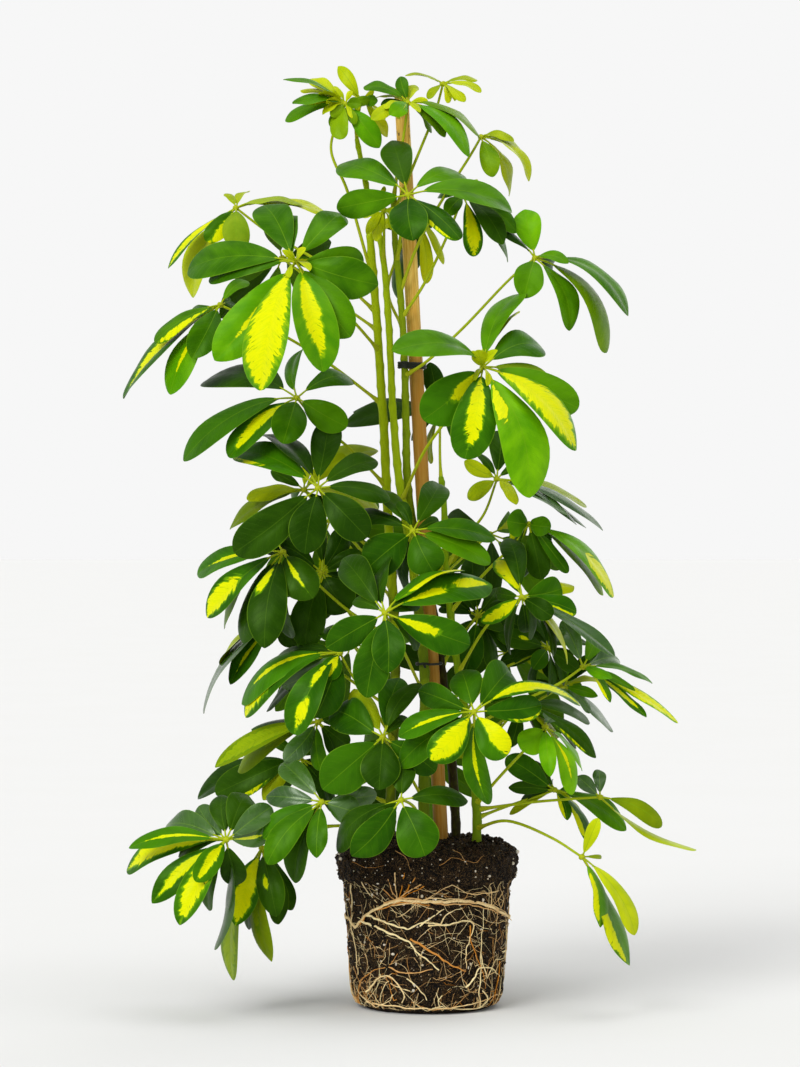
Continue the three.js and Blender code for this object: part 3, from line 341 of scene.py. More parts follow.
class Nodes:
    """A material's nodes, with short calls for those that this plant's finishes share."""

    def __init__(self, name: str) -> None:
        """Starts a material with a plain shader."""
        self.material = bpy.data.materials.new(name)
        self.material.use_nodes = True
        self.tree = self.material.node_tree
        self.shader = self.tree.nodes["Principled BSDF"]

    def add(self, kind: str, feeds: dict[str | int, object], **settings: object) -> bpy.types.Node:
        """Adds a node.

        Args:
            kind: The node's type, without its first word.
            feeds: A value or a socket for each input by its name or number.
            **settings: Settings of the node.

        Returns:
            The node.
        """
        node = self.tree.nodes.new("ShaderNode" + kind)
        for key, value in settings.items():
            setattr(node, key, value)
        for key, value in feeds.items():
            self.feed(node.inputs[key], value)
        return node

    def feed(self, socket: Socket, value: object) -> None:
        """Links a socket to an input, or sets the input's own value."""
        if isinstance(value, Socket):
            self.tree.links.new(value, socket)
        else:
            socket.default_value = value

    def facts(self, name: str) -> tuple[Socket, Socket, Socket]:
        """Reads one of a mesh's facts as its three numbers."""
        source = self.add("Attribute", {}, attribute_name=name)
        split = self.add("SeparateXYZ", {0: source.outputs["Vector"]})
        return split.outputs[0], split.outputs[1], split.outputs[2]

    def fact(self, name: str) -> Socket:
        """Reads one of a mesh's facts as one number."""
        return self.add("Attribute", {}, attribute_name=name).outputs["Fac"]

    def ground(self) -> Socket:
        """Gives the place in the plant's own frame, in metres."""
        return self.add("TexCoord", {}).outputs["Object"]

    def point(self, x: object, y: object, z: object) -> Socket:
        """Joins three numbers into a place."""
        return self.add("CombineXYZ", {0: x, 1: y, 2: z}).outputs[0]

    def sum(self, operation: str, *values: object) -> Socket:
        """Does sums on one to three numbers."""
        return self.add("Math", dict(enumerate(values)), operation=operation).outputs[0]

    def times(self, first: object, second: object) -> Socket:
        """Multiplies two numbers."""
        return self.sum("MULTIPLY", first, second)

    def plus(self, first: object, second: object) -> Socket:
        """Adds two numbers."""
        return self.sum("ADD", first, second)

    def noise(self, place: Socket, scale: float, detail: float = 3, warp: float = 0) -> Socket:
        """Gives a soft random number from 0 to 1."""
        feeds = {"Vector": place, "Scale": scale, "Detail": detail, "Distortion": warp}
        return self.add("TexNoise", feeds).outputs["Fac"]

    def cells(self, place: Socket, scale: float) -> Socket:
        """Gives the distance to the nearest of some scattered points."""
        return self.add("TexVoronoi", {"Vector": place, "Scale": scale}).outputs["Distance"]

    def step(self, value: Socket, low: float, high: float, first: float = 0, last: float = 1) -> Socket:
        """Goes smoothly from first to last while the value goes from low to high."""
        feeds = {"Value": value, "From Min": low, "From Max": high, "To Min": first, "To Max": last}
        return self.add("MapRange", feeds, interpolation_type="SMOOTHSTEP").outputs[0]

    def off_middle(self, value: Socket) -> Socket:
        """Gives how far a random number is above its middle, 0.5."""
        return self.sum("SUBTRACT", value, 0.5)

    def mix(self, share: object, first: object, second: object) -> Socket:
        """Mixes two colours."""
        colours = [linear(c) if isinstance(c, tuple) else c for c in (first, second)]
        return self.add("Mix", {0: share, 6: colours[0], 7: colours[1]}, data_type="RGBA").outputs[2]

    def finish(
        self, colour: Socket, roughness: object, height: Socket | None = None, relief: float = 0.0,
        **values: object,
    ) -> bpy.types.Material:
        """Feeds the shader.

        Args:
            colour: The base colour.
            roughness: A number or a socket.
            height: The bump's height, from about 0 to 1.
            relief: What a height of 1 stands for, in millimetres.
            **values: Plain values of the shader's other inputs, with _ for a space.

        Returns:
            The material.
        """
        self.feed(self.shader.inputs["Base Color"], colour)
        self.feed(self.shader.inputs["Roughness"], roughness)
        for key, value in values.items():
            self.shader.inputs[key.replace("_", " ")].default_value = value
        if height is not None:
            bump = self.add("Bump", {"Height": height, "Distance": relief * METRES, "Strength": 1.0})
            self.feed(self.shader.inputs["Normal"], bump.outputs[0])
        return self.material


@dataclass(frozen=True)
class LeafFinish:
    """The glossy skin of a leaflet, with faint veins, a midrib, a pale rim and yellow patches."""

    name: str
    deep: Colour
    light: Colour
    yellow: Colour = (212, 216, 2)
    mottle: Colour = (180, 202, 10)
    halo: Colour = (100, 150, 6)
    dust: Colour = (120, 146, 70)
    under: Colour = (84, 118, 20)
    midrib: Colour = (112, 152, 24)
    midrib_share: float = 0.5
    rim: Colour = (126, 168, 34)
    rim_share: float = 0.4
    vein_share: float = 0.07
    speck_share: float = 0.0
    roughness: float = 0.34
    gloss: float = 0.12
    coat: float = 0.03
    tint: Place = (0.5, 1.0, 0.12)

    def make(self) -> bpy.types.Material:
        """Builds the material."""
        nodes = Nodes(self.name)
        ray, across, draw = nodes.facts("lay")
        aside, along, patch = nodes.facts("zone")
        under = nodes.fact("underside")
        from_rib = nodes.sum("ABSOLUTE", across)
        shift = nodes.times(draw, 61.0)
        fingers = nodes.point(nodes.times(ray, 1.7), nodes.times(across, 0.4), shift)
        grain = nodes.point(ray, across, shift)
        blotch = nodes.noise(grain, 0.45, 3)
        edge = nodes.noise(fingers, 1.3, 6, 0.3)
        flecks = nodes.noise(fingers, 3.4, 3)
        tone = nodes.plus(nodes.times(blotch, 0.7), nodes.times(draw, 0.3))
        colour = nodes.mix(nodes.step(tone, 0.25, 0.75), self.deep, self.light)
        ridge = nodes.sum("PINGPONG", nodes.plus(ray, nodes.times(blotch, 0.8)), 0.37)
        vein = nodes.step(ridge, 0.05, 0.0)
        colour = nodes.mix(nodes.times(vein, self.vein_share), colour, self.midrib)
        middle = nodes.step(nodes.plus(from_rib, nodes.times(along, 0.025)), 0.06, 0.02)
        colour = nodes.mix(nodes.times(middle, self.midrib_share), colour, self.midrib)
        ragged = nodes.sum("MULTIPLY_ADD", nodes.off_middle(edge), 1.0, patch)
        inside = nodes.sum("MULTIPLY_ADD", nodes.off_middle(blotch), 0.7, ragged)
        halo = nodes.times(nodes.step(inside, -0.24, -0.02), nodes.step(flecks, 0.3, 0.55, 0.4, 1.0))
        colour = nodes.mix(halo, colour, self.halo)
        tint = nodes.mix(nodes.step(flecks, 0.42, 0.66, 0, 0.4), self.yellow, self.mottle)
        tint = nodes.mix(nodes.times(middle, 0.3), tint, self.mottle)
        dashes = nodes.times(nodes.step(flecks, 0.63, 0.68), nodes.step(inside, 0.5, 0.2))
        tint = nodes.mix(dashes, tint, self.deep)
        colour = nodes.mix(nodes.step(inside, 0.0, 0.06), colour, tint)
        edging = nodes.times(nodes.step(aside, 0.945, 0.99), self.rim_share)
        colour = nodes.mix(edging, colour, self.rim)
        if self.speck_share:
            dust = nodes.step(nodes.cells(grain, 4.5), 0.12, 0.05)
            patchy = nodes.step(nodes.noise(grain, 0.6, 1), 0.45, 0.65)
            share = nodes.times(nodes.times(dust, patchy), self.speck_share)
            colour = nodes.mix(share, colour, self.dust)
        colour = nodes.mix(under, colour, nodes.mix(blotch, self.under, colour))
        fine = nodes.noise(grain, 9.0, 3)
        smooth, rough = self.roughness - 0.05, self.roughness + 0.09
        gloss = nodes.step(nodes.noise(grain, 1.1, 3), 0.3, 0.7, smooth, rough)
        gloss = nodes.sum("MAXIMUM", gloss, nodes.times(under, 0.6))
        height = nodes.plus(nodes.times(vein, -0.4), nodes.times(fine, 0.25))
        return nodes.finish(
            colour, gloss, height, 0.22, Specular_IOR_Level=self.gloss, Specular_Tint=(*self.tint, 1),
            Coat_Weight=self.coat, Coat_Roughness=0.25,
        )


class Look(Enum):
    """How a leaflet looks in the photograph."""

    GREEN = LeafFinish("leaf_green", (43, 89, 2), (80, 133, 4))
    DEEP = LeafFinish("leaf_deep", (28, 68, 3), (54, 102, 5), speck_share=0.3)
    BRIGHT = LeafFinish("leaf_bright", (74, 136, 2), (118, 178, 8), under=(96, 140, 16))
    LIME = LeafFinish("leaf_lime", (82, 122, 4), (122, 156, 8), rim_share=0.2, under=(118, 150, 14))
    # Dark green leaflets: their colour is partly their own deep green and partly painted shade, for
    # leaflets that lie in the umbrellas' shade.
    DARK_AND_SHADE = LeafFinish(
        "leaf_dark_and_shade", (24, 54, 2), (46, 82, 5), midrib=(84, 120, 24), midrib_share=0.4, rim_share=0.35,
        speck_share=0.4, under=(44, 70, 10),
    )
    OLIVE = LeafFinish("leaf_olive", (132, 152, 8), (176, 190, 14), under=(146, 162, 14))
    YELLOW = LeafFinish("leaf_yellow", (62, 124, 6), (98, 152, 8), halo=(130, 172, 8))
    VARIEGATED = LeafFinish("leaf_variegated", (34, 80, 3), (62, 118, 5))
    UNDERSIDE = LeafFinish(
        "leaf_underside", (100, 134, 16), (140, 164, 30), roughness=0.5, coat=0.0, vein_share=0.14,
        under=(120, 150, 22),
    )
    BACKLIT = LeafFinish(
        "leaf_backlit", (100, 124, 6), (132, 152, 10), yellow=(134, 158, 10), mottle=(104, 136, 10),
        halo=(92, 130, 10), roughness=0.45, coat=0.0,
    )
    PALE = LeafFinish(
        "leaf_pale", (140, 164, 34), (172, 188, 60), roughness=0.5, coat=0.0, under=(150, 172, 44),
    )
    SHEEN = LeafFinish(
        "leaf_sheen", (34, 72, 10), (60, 100, 22), roughness=0.3, gloss=0.5, coat=0.3,
        tint=(0.85, 1.0, 0.75),
    )
    YOUNG = LeafFinish("leaf_young", (160, 178, 6), (196, 206, 18), rim_share=0.2, under=(184, 196, 16))

    def __call__(
        self, u: float, v: float, seen_width: float, depth: float | None = None, **more: object,
    ) -> "Leaf":
        """Describes a leaflet that has this look."""
        return Leaf(u, v, seen_width, self, depth, **more)


@dataclass(frozen=True)
class Blob:
    """A yellow patch on a blade: its start and end along it, its middle line and its reach across."""

    start: float
    end: float
    middle: float = 0.0
    reach: float = 0.5

    def inside(self, along: float, across: float) -> float:
        """Gives 1 in the middle of the patch, 0 on its edge and less outside."""
        length = (along - (self.start + self.end) / 2) / ((self.end - self.start) / 2)
        width = (across - self.middle) / self.reach
        return 1 - math.hypot(length, width)


@dataclass(frozen=True)
class Variegation:
    """The yellow patches of a leaflet, and the way that the side they lie on looks, if it matters."""

    blobs: tuple[Blob, ...] = ()
    heading: Place | None = None

    def inside(self, along: float, across: float, side: Vector) -> float:
        """Gives how far inside a patch a place on the blade is.

        Args:
            along: Share along the blade.
            across: Share across, from -1 at one rim to 1 at the other.
            side: The way that across grows.

        Returns:
            1 in the middle of a patch, 0 on its edge, and down to -1 outside.
        """
        if self.heading and side.dot(Vector(self.heading)) < 0:
            across = -across
        return max((blob.inside(along, across) for blob in self.blobs), default=-1.0)


EDGE_BLOB = (Blob(0.1, 0.96, 0.68, 0.34),)


class Patch(Enum):
    """The patterns of yellow that the leaflets carry."""

    NONE = Variegation()
    CENTRE = Variegation((Blob(0.02, 0.78, 0.05, 0.42), Blob(0.5, 0.9, -0.1, 0.2)))
    WIDE = Variegation((Blob(-0.1, 1.0, 0.0, 0.66),))
    RIMMED = Variegation((Blob(-0.25, 1.08, 0.0, 0.8),))
    MIDRIB = Variegation((Blob(0.0, 0.8, 0.0, 0.17),))
    TIP = Variegation((Blob(0.45, 1.06, 0.1, 0.7),))
    BASE = Variegation((Blob(-0.1, 0.55, -0.05, 0.34),))
    SHORT = Variegation((Blob(0.1, 0.66, 0.15, 0.4),))
    SPOT = Variegation((Blob(0.35, 0.58, 0.3, 0.2),))
    TWO = Variegation((Blob(0.04, 0.46, 0.05, 0.3), Blob(0.55, 0.92, -0.1, 0.34)))
    LOWER_EDGE = Variegation(EDGE_BLOB, (0, 0, -1))
    LEFT_EDGE = Variegation(EDGE_BLOB, (-1, 0, 0))
    SHORT_EDGE = Variegation((Blob(0.06, 0.44, 0.6, 0.34),), (-1, 0, 0))
    THIN_EDGE = Variegation((Blob(0.25, 1.0, 0.86, 0.14),), (0, 0, -1))
    RIGHT_HALF = Variegation((Blob(-0.05, 1.0, 0.6, 0.62),), (1, 0, 0))


USUAL_PATCH = {Look.YELLOW: Patch.RIMMED, Look.VARIEGATED: Patch.CENTRE}


@dataclass(frozen=True)
class StemFinish:
    """The skin of stems and petioles: fine grain along them, green above and older towards the soil.

    old_until is the share of the length up to which it has aged.
    """

    name: str
    young: Colour
    old: Colour
    scar: Colour
    old_until: float = 0.3
    fleck: Colour = (176, 168, 96)
    roughness: float = 0.42

    def make(self) -> bpy.types.Material:
        """Builds the material."""
        nodes = Nodes(self.name)
        along, around, draw = nodes.facts("lay")
        _, share, _ = nodes.facts("zone")
        shift = nodes.times(draw, 31.0)
        streaks = nodes.noise(nodes.point(nodes.times(along, 0.5), around, shift), 2.2, 4)
        flecks = nodes.cells(nodes.point(nodes.times(along, 0.6), around, shift), 5.0)
        patchy = nodes.noise(nodes.point(along, around, shift), 0.4, 3, 0.5)
        youth = nodes.plus(share, nodes.times(nodes.off_middle(patchy), 0.7))
        aged = nodes.step(youth, self.old_until - 0.12, self.old_until + 0.12)
        colour = nodes.mix(aged, self.old, self.young)
        colour = nodes.mix(nodes.step(streaks, 0.4, 0.8, 0, 0.4), colour, self.scar)
        colour = nodes.mix(nodes.step(flecks, 0.12, 0.04, 0, 0.4), colour, self.fleck)
        gloss = nodes.step(streaks, 0.3, 0.7, self.roughness, self.roughness + 0.2)
        return nodes.finish(colour, gloss, streaks, 0.3, Specular_IOR_Level=0.08)


class Skin(Enum):
    """The skins of the stems and petioles."""

    PETIOLE = StemFinish("petiole_skin", (160, 178, 18), (168, 178, 26), (134, 140, 18), 0.2)
    STEM_MAIN = StemFinish("stem_skin_main", (160, 184, 10), (96, 116, 10), (104, 126, 8))
    STEM_LEFT = StemFinish("stem_skin_left", (166, 186, 8), (92, 108, 12), (112, 134, 8))
    STEM_SLENDER = StemFinish("stem_skin_slender", (128, 150, 10), (46, 38, 14), (84, 96, 10), 0.4)
    STEM_RIGHT = StemFinish("stem_skin_right", (126, 158, 8), (112, 140, 8), (92, 118, 8))


@dataclass(frozen=True)
class WoodFinish:
    """The stake's turned wood, with grain along it and brown specks near its top."""

    name: str = "stake_wood"
    pale: Colour = (252, 214, 108)
    dark: Colour = (212, 156, 52)
    aged: Colour = (150, 96, 4)
    band: Colour = (230, 174, 72)
    speck: Colour = (74, 44, 18)

    def make(self) -> bpy.types.Material:
        """Builds the material."""
        nodes = Nodes(self.name)
        along, around, _ = nodes.facts("lay")
        _, share, _ = nodes.facts("zone")
        grain = nodes.noise(nodes.point(nodes.times(along, 0.06), around, 0.0), 5.0, 5, 0.3)
        rings = nodes.noise(nodes.point(nodes.times(along, 0.02), around, 3.0), 1.4, 2)
        colour = nodes.mix(nodes.step(grain, 0.3, 0.72), self.pale, self.dark)
        colour = nodes.mix(nodes.step(rings, 0.4, 0.7, 0, 0.4), colour, self.band)
        colour = nodes.mix(nodes.step(share, 0.72, 0.6, 0, 0.75), colour, self.aged)
        dots = nodes.cells(nodes.point(nodes.times(along, 0.7), around, 0.0), 2.6)
        near_top = nodes.times(nodes.step(share, 0.86, 0.88), nodes.step(grain, 0.5, 0.56))
        colour = nodes.mix(nodes.times(nodes.step(dots, 0.4, 0.26), near_top), colour, self.speck)
        gloss = nodes.step(grain, 0.3, 0.7, 0.5, 0.7)
        return nodes.finish(colour, gloss, grain, 0.25, Specular_IOR_Level=0.25)


@dataclass(frozen=True)
class SoilFinish:
    """Damp potting soil: dark, crumbly, with fibres and pale grit."""

    name: str = "soil"
    deep: Colour = (3, 2, 2)
    light: Colour = (20, 14, 9)
    clod: Colour = (62, 43, 23)
    fibre: Colour = (150, 118, 74)
    grit: Colour = (178, 164, 140)

    def make(self) -> bpy.types.Material:
        """Builds the material."""
        nodes = Nodes(self.name)
        ground = nodes.ground()
        clods = nodes.noise(ground, 110.0, 5, 0.3)
        crumbs = nodes.noise(ground, 420.0, 4)
        grit = nodes.cells(ground, 260.0)
        fibre = nodes.noise(ground, 190.0, 4, 2.5)
        colour = nodes.mix(nodes.step(crumbs, 0.3, 0.75), self.deep, self.light)
        colour = nodes.mix(nodes.step(clods, 0.5, 0.72, 0, 0.5), colour, self.clod)
        thread = nodes.step(nodes.sum("ABSOLUTE", nodes.off_middle(fibre)), 0.014, 0.004, 0, 0.6)
        colour = nodes.mix(thread, colour, self.fibre)
        sparse = nodes.step(clods, 0.5, 0.62)
        speck = nodes.times(nodes.step(grit, 0.19, 0.12, 0, 0.8), sparse)
        colour = nodes.mix(speck, colour, self.grit)
        height = nodes.plus(crumbs, nodes.times(nodes.step(grit, 0.5, 0.1), 0.5))
        gloss = nodes.step(crumbs, 0.3, 0.7, 0.6, 0.9)
        return nodes.finish(colour, gloss, height, 1.6, Specular_IOR_Level=0.1)


@dataclass(frozen=True)
class TonedFinish:
    """A rough natural stuff between two tones that its random draw picks: roots and grit."""

    name: str
    pale: Colour
    dark: Colour
    stain: Colour
    grain: float = 6.0
    relief: float = 0.3
    roughness: float = 0.75

    def make(self) -> bpy.types.Material:
        """Builds the material."""
        nodes = Nodes(self.name)
        along, around, draw = nodes.facts("lay")
        place = nodes.point(along, around, nodes.times(draw, 47.0))
        fine = nodes.noise(place, self.grain, 4)
        broad = nodes.noise(place, 0.7, 2)
        colour = nodes.mix(draw, self.pale, self.dark)
        colour = nodes.mix(nodes.step(fine, 0.35, 0.8, 0, 0.6), colour, self.stain)
        colour = nodes.mix(nodes.step(broad, 0.5, 0.75, 0, 0.5), colour, self.stain)
        return nodes.finish(colour, self.roughness, fine, self.relief, Specular_IOR_Level=0.2)


ROOT_SKIN = TonedFinish("root_skin", (255, 240, 184), (206, 128, 22), (184, 120, 34), 9.0)
PERLITE = TonedFinish("perlite", (236, 230, 216), (206, 192, 164), (168, 150, 122), 12.0, 0.4, 0.85)
TIE_WIRE = TonedFinish("tie_wire", (30, 36, 26), (22, 28, 20), (52, 56, 40), 9.0, 0.1, 0.45)


@dataclass(frozen=True)
class FloorFinish:
    """The studio's pale matt floor."""

    name: str = "studio_floor"
    pale: Colour = (228, 228, 227)
    warm: Colour = (226, 226, 224)

    def make(self) -> bpy.types.Material:
        """Builds the material."""
        nodes = Nodes(self.name)
        mottle = nodes.noise(nodes.ground(), 3.0, 2)
        return nodes.finish(nodes.mix(mottle, self.pale, self.warm), 0.9, Specular_IOR_Level=0.0)


# The root ball and what stands in it.


@dataclass(frozen=True)
class RootBall:
    """Soil that keeps the pot's shape: a lip at the top, a step below it and a crumbled top.

    outline runs from the axis of the resting face to the top, as radius and height. The top is flat out to
    flat_reach and falls beyond it.
    """

    outline: tuple[tuple[float, float], ...] = (
        (0, 0), (62, 0), (71, 5), (75, 14), (79, 68), (83, 124), (88.5, 131), (90.5, 144), (88, 158),
        (72, 165), (34, 167), (0, 166),
    )
    step: float = 2.1
    sides: int = 264
    side_relief: float = 3.2
    top_relief: float = 3.4
    lip_height: float = 128
    top_height: float = 166
    top_edge: float = 156
    top_reach: float = 88
    flat_reach: float = 70
    fall: float = 0.16
    crumbs: int = 620
    crumb_sink: float = 0.5
    crumb_sizes: tuple[float, float] = (0.8, 2.6)
    grit: int = 300
    grit_heights: tuple[float, float] = (16, 165)
    grit_sizes: tuple[float, float] = (0.4, 1.5)
    seed: int = 11

    def radius_at(self, height: float) -> float:
        """Gives the radius of the side at a height."""
        side = self.outline[1:8]
        for (low_radius, low), (high_radius, high) in zip(side, side[1:]):
            if height <= high:
                return blend(low_radius, high_radius, clamp((height - low) / (high - low), 0, 1))
        return side[-1][0]

    def on_side(self, angle: float, height: float, lift: float) -> Vector:
        """Gives a place on the side, lifted off it."""
        return round_axis(angle, self.radius_at(height) + lift, height)

    def behind_pixel(self, u: float, v: float, lift: float) -> Vector:
        """Gives the place on the ball's front that a pixel shows, lifted off the side."""
        place = PICTURE.place(u, v, -self.radius_at(0))
        for _ in range(6):
            reach = self.radius_at(place.z) + lift
            place = PICTURE.place(u, v, -math.sqrt(max(reach ** 2 - place.x ** 2, 0)))
        return place

    def on_top(self, angle: float, radius: float, lift: float) -> Vector:
        """Gives a place on the top, lifted off it."""
        height = self.top_height - max(radius - self.flat_reach, 0) ** 1.5 * self.fall + lift
        return round_axis(angle, radius, height)

    def rings(self) -> list[tuple[float, float]]:
        """Divides the outline into even steps with softened corners."""
        rings = []
        for (radius, height), (next_radius, next_height) in zip(self.outline, self.outline[1:]):
            count = max(round(math.hypot(next_radius - radius, next_height - height) / self.step), 1)
            rings += [(blend(radius, next_radius, k / count), blend(height, next_height, k / count))
                      for k in range(count)]
        rings.append(self.outline[-1])
        middle = [
            tuple((before[i] + 2 * here[i] + after[i]) / 4 for i in (0, 1))
            for before, here, after in zip(rings, rings[1:], rings[2:])
        ]
        return [rings[0], *middle, rings[-1]]

    def relief_at(self, place: Vector) -> float:
        """Gives how far the soil stands out at a place."""
        rough = blend(self.side_relief, self.top_relief, clamp((place.z - self.lip_height) / 14, 0, 1))
        clods = noise.fractal(place / 13, 0.9, 2.1, 4)
        pits = noise.fractal(place / 4.2 + UP * 40, 0.8, 2.2, 3)
        flat_base = clamp(place.z / 9, 0, 1)
        return rough * flat_base * (0.6 * clods + 0.65 * pits - 0.15)

    def surface(self, draft: MeshDraft) -> None:
        """Lays the crumbly skin over the outline."""
        rings = self.rings()
        low = draft.add_point(Vector((0, 0, rings[0][1])))
        start = low + 1
        for i in range(1, len(rings) - 1):
            radius, height = rings[i]
            rise = Vector((rings[i + 1][0] - rings[i - 1][0], rings[i + 1][1] - rings[i - 1][1]))
            out = Vector((rise.y, -rise.x)).normalized()
            for k in range(self.sides):
                angle = math.tau * k / self.sides
                heading = round_axis(angle, 1, 0)
                place = heading * radius + UP * height
                lift = self.relief_at(place)
                draft.add_point(place + (heading * out.x + UP * out.y) * lift)
        high = draft.add_point(Vector((0, 0, rings[-1][1])))
        last = len(rings) - 3
        for k in range(self.sides):
            turn = (k + 1) % self.sides
            draft.add_face((low, start + turn, start + k), 0)
            draft.add_face((start + last * self.sides + k, start + last * self.sides + turn, high), 0)
            for i in range(last):
                row, above = start + i * self.sides, start + (i + 1) * self.sides
                draft.add_face((row + k, row + turn, above + turn, above + k), 0)

    def scatter(self, draft: MeshDraft) -> None:
        """Scatters crumbs over the top and lip, and grit all over."""
        draws = random.Random(self.seed)
        for _ in range(self.crumbs):
            radius = self.outline[7][0] * math.sqrt(draws.random())
            angle = draws.uniform(0, math.tau)
            size = draws.uniform(*self.crumb_sizes)
            place = self.on_top(angle, radius, 0.4 * size - self.crumb_sink)
            form = Vector([size * draws.uniform(0.7, 1.2) for _ in range(3)])
            draft.add_lump(place, form, 0, draws.random(), 0.4)
        for _ in range(self.grit):
            height = blend(*self.grit_heights, draws.random() ** 0.6)
            angle = draws.uniform(0, math.tau)
            size = blend(*self.grit_sizes, draws.random() ** 1.5)
            if height > self.top_edge:
                place = self.on_top(angle, self.top_reach * math.sqrt(draws.random()), 0.5 * size)
            else:
                place = self.on_side(angle, height, 0.4 * size)
            form = Vector([size * draws.uniform(0.6, 1.5) for _ in range(3)])
            draft.add_lump(place, form, 1, draws.random(), 0.35)

    def make(self) -> None:
        """Builds the ball."""
        draft = MeshDraft()
        self.surface(draft)
        self.scatter(draft)
        settle(draft.build("root_ball_soil", [SoilFinish().make(), PERLITE.make()]), ["root_ball"])


@dataclass(frozen=True)
class RootNet:
    """Roots over the ball's side: those that show plainly in the photograph, and a seeded tangle.

    girdle runs round the front and goes on behind at the height that girdle_height gives. Each plain root
    has its radius, its tone and its pixels.
    """

    ball: RootBall
    girdle: tuple[tuple[float, float], ...] = (
        (355, 928), (366, 915), (383, 906), (399, 901), (418, 901), (439, 902), (453, 901), (471, 902),
        (488, 906), (502, 913), (509, 917),
    )
    plain_roots: tuple[tuple[float, float, tuple[tuple[float, float], ...]], ...] = (
        (0.9, 0.6, (
            (384, 904), (399, 899), (418, 899), (439, 904), (453, 904), (471, 905), (488, 909), (504, 916),
        )),
        (0.7, 0.3, (
            (392, 906), (410, 903), (428, 899), (446, 899), (464, 900), (484, 903), (500, 909), (511, 920),
        )),
        (0.8, 0.9, ((360, 924), (370, 912), (384, 908), (400, 903), (416, 903), (430, 905))),
        (1.1, 0.0, ((366, 915), (383, 921), (394, 926), (410, 928), (422, 923), (446, 926))),
        (1.2, 0.9, ((410, 939), (424, 947), (440, 958), (456, 967), (466, 971))),
        (1.1, 0.0, ((360, 921), (376, 927), (399, 937), (410, 943), (418, 953), (428, 961), (439, 970))),
        (0.9, 0.1, ((428, 926), (446, 925), (464, 921), (474, 924), (470, 938), (466, 952), (467, 968))),
        (1.0, 0.2, ((366, 992), (373, 985), (378, 978), (390, 977), (399, 986), (404, 996), (402, 1003))),
        (0.8, 0.2, ((350, 884), (352, 905), (352, 930), (356, 952), (358, 975))),
        (0.7, 0.6, ((421, 884), (412, 889), (403, 896), (397, 902))),
        (0.7, 1.0, ((409, 885), (407, 892), (401, 900))),
        (0.6, 0.4, ((395, 873), (396, 886), (397, 900))),
        (0.6, 0.7, ((388, 880), (392, 890), (398, 901))),
        (0.6, 0.1, ((362, 882), (368, 893), (377, 903))),
        (0.6, 1.0, ((404, 873), (402, 888), (399, 901))),
        (0.5, 0.9, ((416, 878), (407, 890), (399, 902))),
        (0.5, 1.0, ((424, 886), (411, 893), (399, 901))),
        (0.5, 0.8, ((383, 889), (391, 897), (400, 902))),
        (0.8, 0.7, ((388, 966), (400, 972), (416, 973), (432, 969))),
        (0.9, 0.3, ((366, 1002), (390, 1006), (420, 1009), (452, 1008), (482, 1001), (498, 994))),
        (0.9, 0.0, ((466, 988), (474, 978), (480, 968), (490, 968), (500, 976))),
        (0.7, 0.0, ((407, 979), (419, 988), (427, 1000))),
        (0.8, 0.0, ((420, 926), (434, 916), (444, 909))),
        (0.7, 0.1, ((440, 926), (448, 914), (462, 908))),
        (0.2, 0.6, ((452, 849), (462, 856), (468, 868))),
        (0.2, 0.8, ((440, 866), (452, 858), (474, 862), (484, 856))),
        (0.2, 0.7, ((396, 851), (406, 858), (410, 870))),
        (0.2, 0.9, ((352, 862), (366, 868), (384, 866))),
    )
    girdle_radius: float = 1.3
    girdle_height: float = 101
    girdle_wave: float = 12
    girdle_steps: int = 260
    back_steps: int = 16
    wanderers: int = 84
    wanderer_radii: tuple[float, float] = (0.3, 0.8)
    wanderer_lengths: tuple[float, float] = (30, 120)
    hairs: int = 640
    hair_radii: tuple[float, float] = (0.14, 0.3)
    hair_lengths: tuple[float, float] = (8, 40)
    kinks: float = 0.13
    plain_sides: int = 8
    girdle_sides: int = 10
    girdle_tone: float = 0.24
    waver: float = 1.3
    swelling: float = 0.45
    step: float = 3.2
    low: float = 4
    high: float = 129
    seed: int = 23

    def lift(self, radius: float) -> float:
        """Gives how far a root's middle line stands off the side."""
        return 0.45 * radius + 0.7

    def roughen(self, path: Sequence[Vector], radii: Sequence[float]) -> tuple[list[Vector], list[float]]:
        """Makes a smooth root waver and swell unevenly."""
        places = [place + noise.noise_vector(place / 7) * self.waver for place in path]
        swelling = [1 + self.swelling * noise.noise(place / 3.3) for place in path]
        return places, [radius * share for radius, share in zip(radii, swelling)]

    def girdle_path(self) -> list[Vector]:
        """Joins the girdling root's front to its back."""
        front = [self.ball.behind_pixel(u, v, self.lift(self.girdle_radius)) for u, v in self.girdle]
        start = math.atan2(front[-1].y, front[-1].x)
        sweep = (math.atan2(front[0].y, front[0].x) - start) % math.tau
        back = []
        for k in range(1, self.back_steps):
            angle = start + sweep * k / self.back_steps
            height = self.girdle_height - self.girdle_wave * math.cos(2 * angle) + 1.5 * math.sin(9 * angle)
            back.append(self.ball.on_side(angle, height, self.lift(self.girdle_radius)))
        return smooth_path([*front, *back, front[0]], self.girdle_steps)[:-1]

    def wander(self, draws: random.Random, radius: float, length: float) -> list[Vector]:
        """Walks a root over the side.

        Args:
            draws: The source of its turns.
            radius: Its thickest radius.
            length: Its length.

        Returns:
            Its middle line.
        """
        angle = draws.uniform(0, math.tau)
        height = blend(self.low, self.high, draws.random() ** 1.2)
        heading = draws.choice((0.0, math.pi, -math.pi / 2, -math.pi / 2)) + draws.gauss(0, 0.7)
        path = []
        lift = self.lift(radius)
        for _ in range(max(int(length / self.step), 5)):
            path.append(self.ball.on_side(angle, height, lift + 0.5 * math.sin(0.3 * len(path) + angle)))
            heading += draws.gauss(0, 0.14) + (draws.gauss(0, 0.9) if draws.random() < self.kinks else 0)
            height += self.step * math.sin(heading)
            angle += self.step * math.cos(heading) / self.ball.radius_at(height)
            if not self.low < height < self.high:
                height = clamp(height, self.low, self.high)
                heading = -heading
        return path

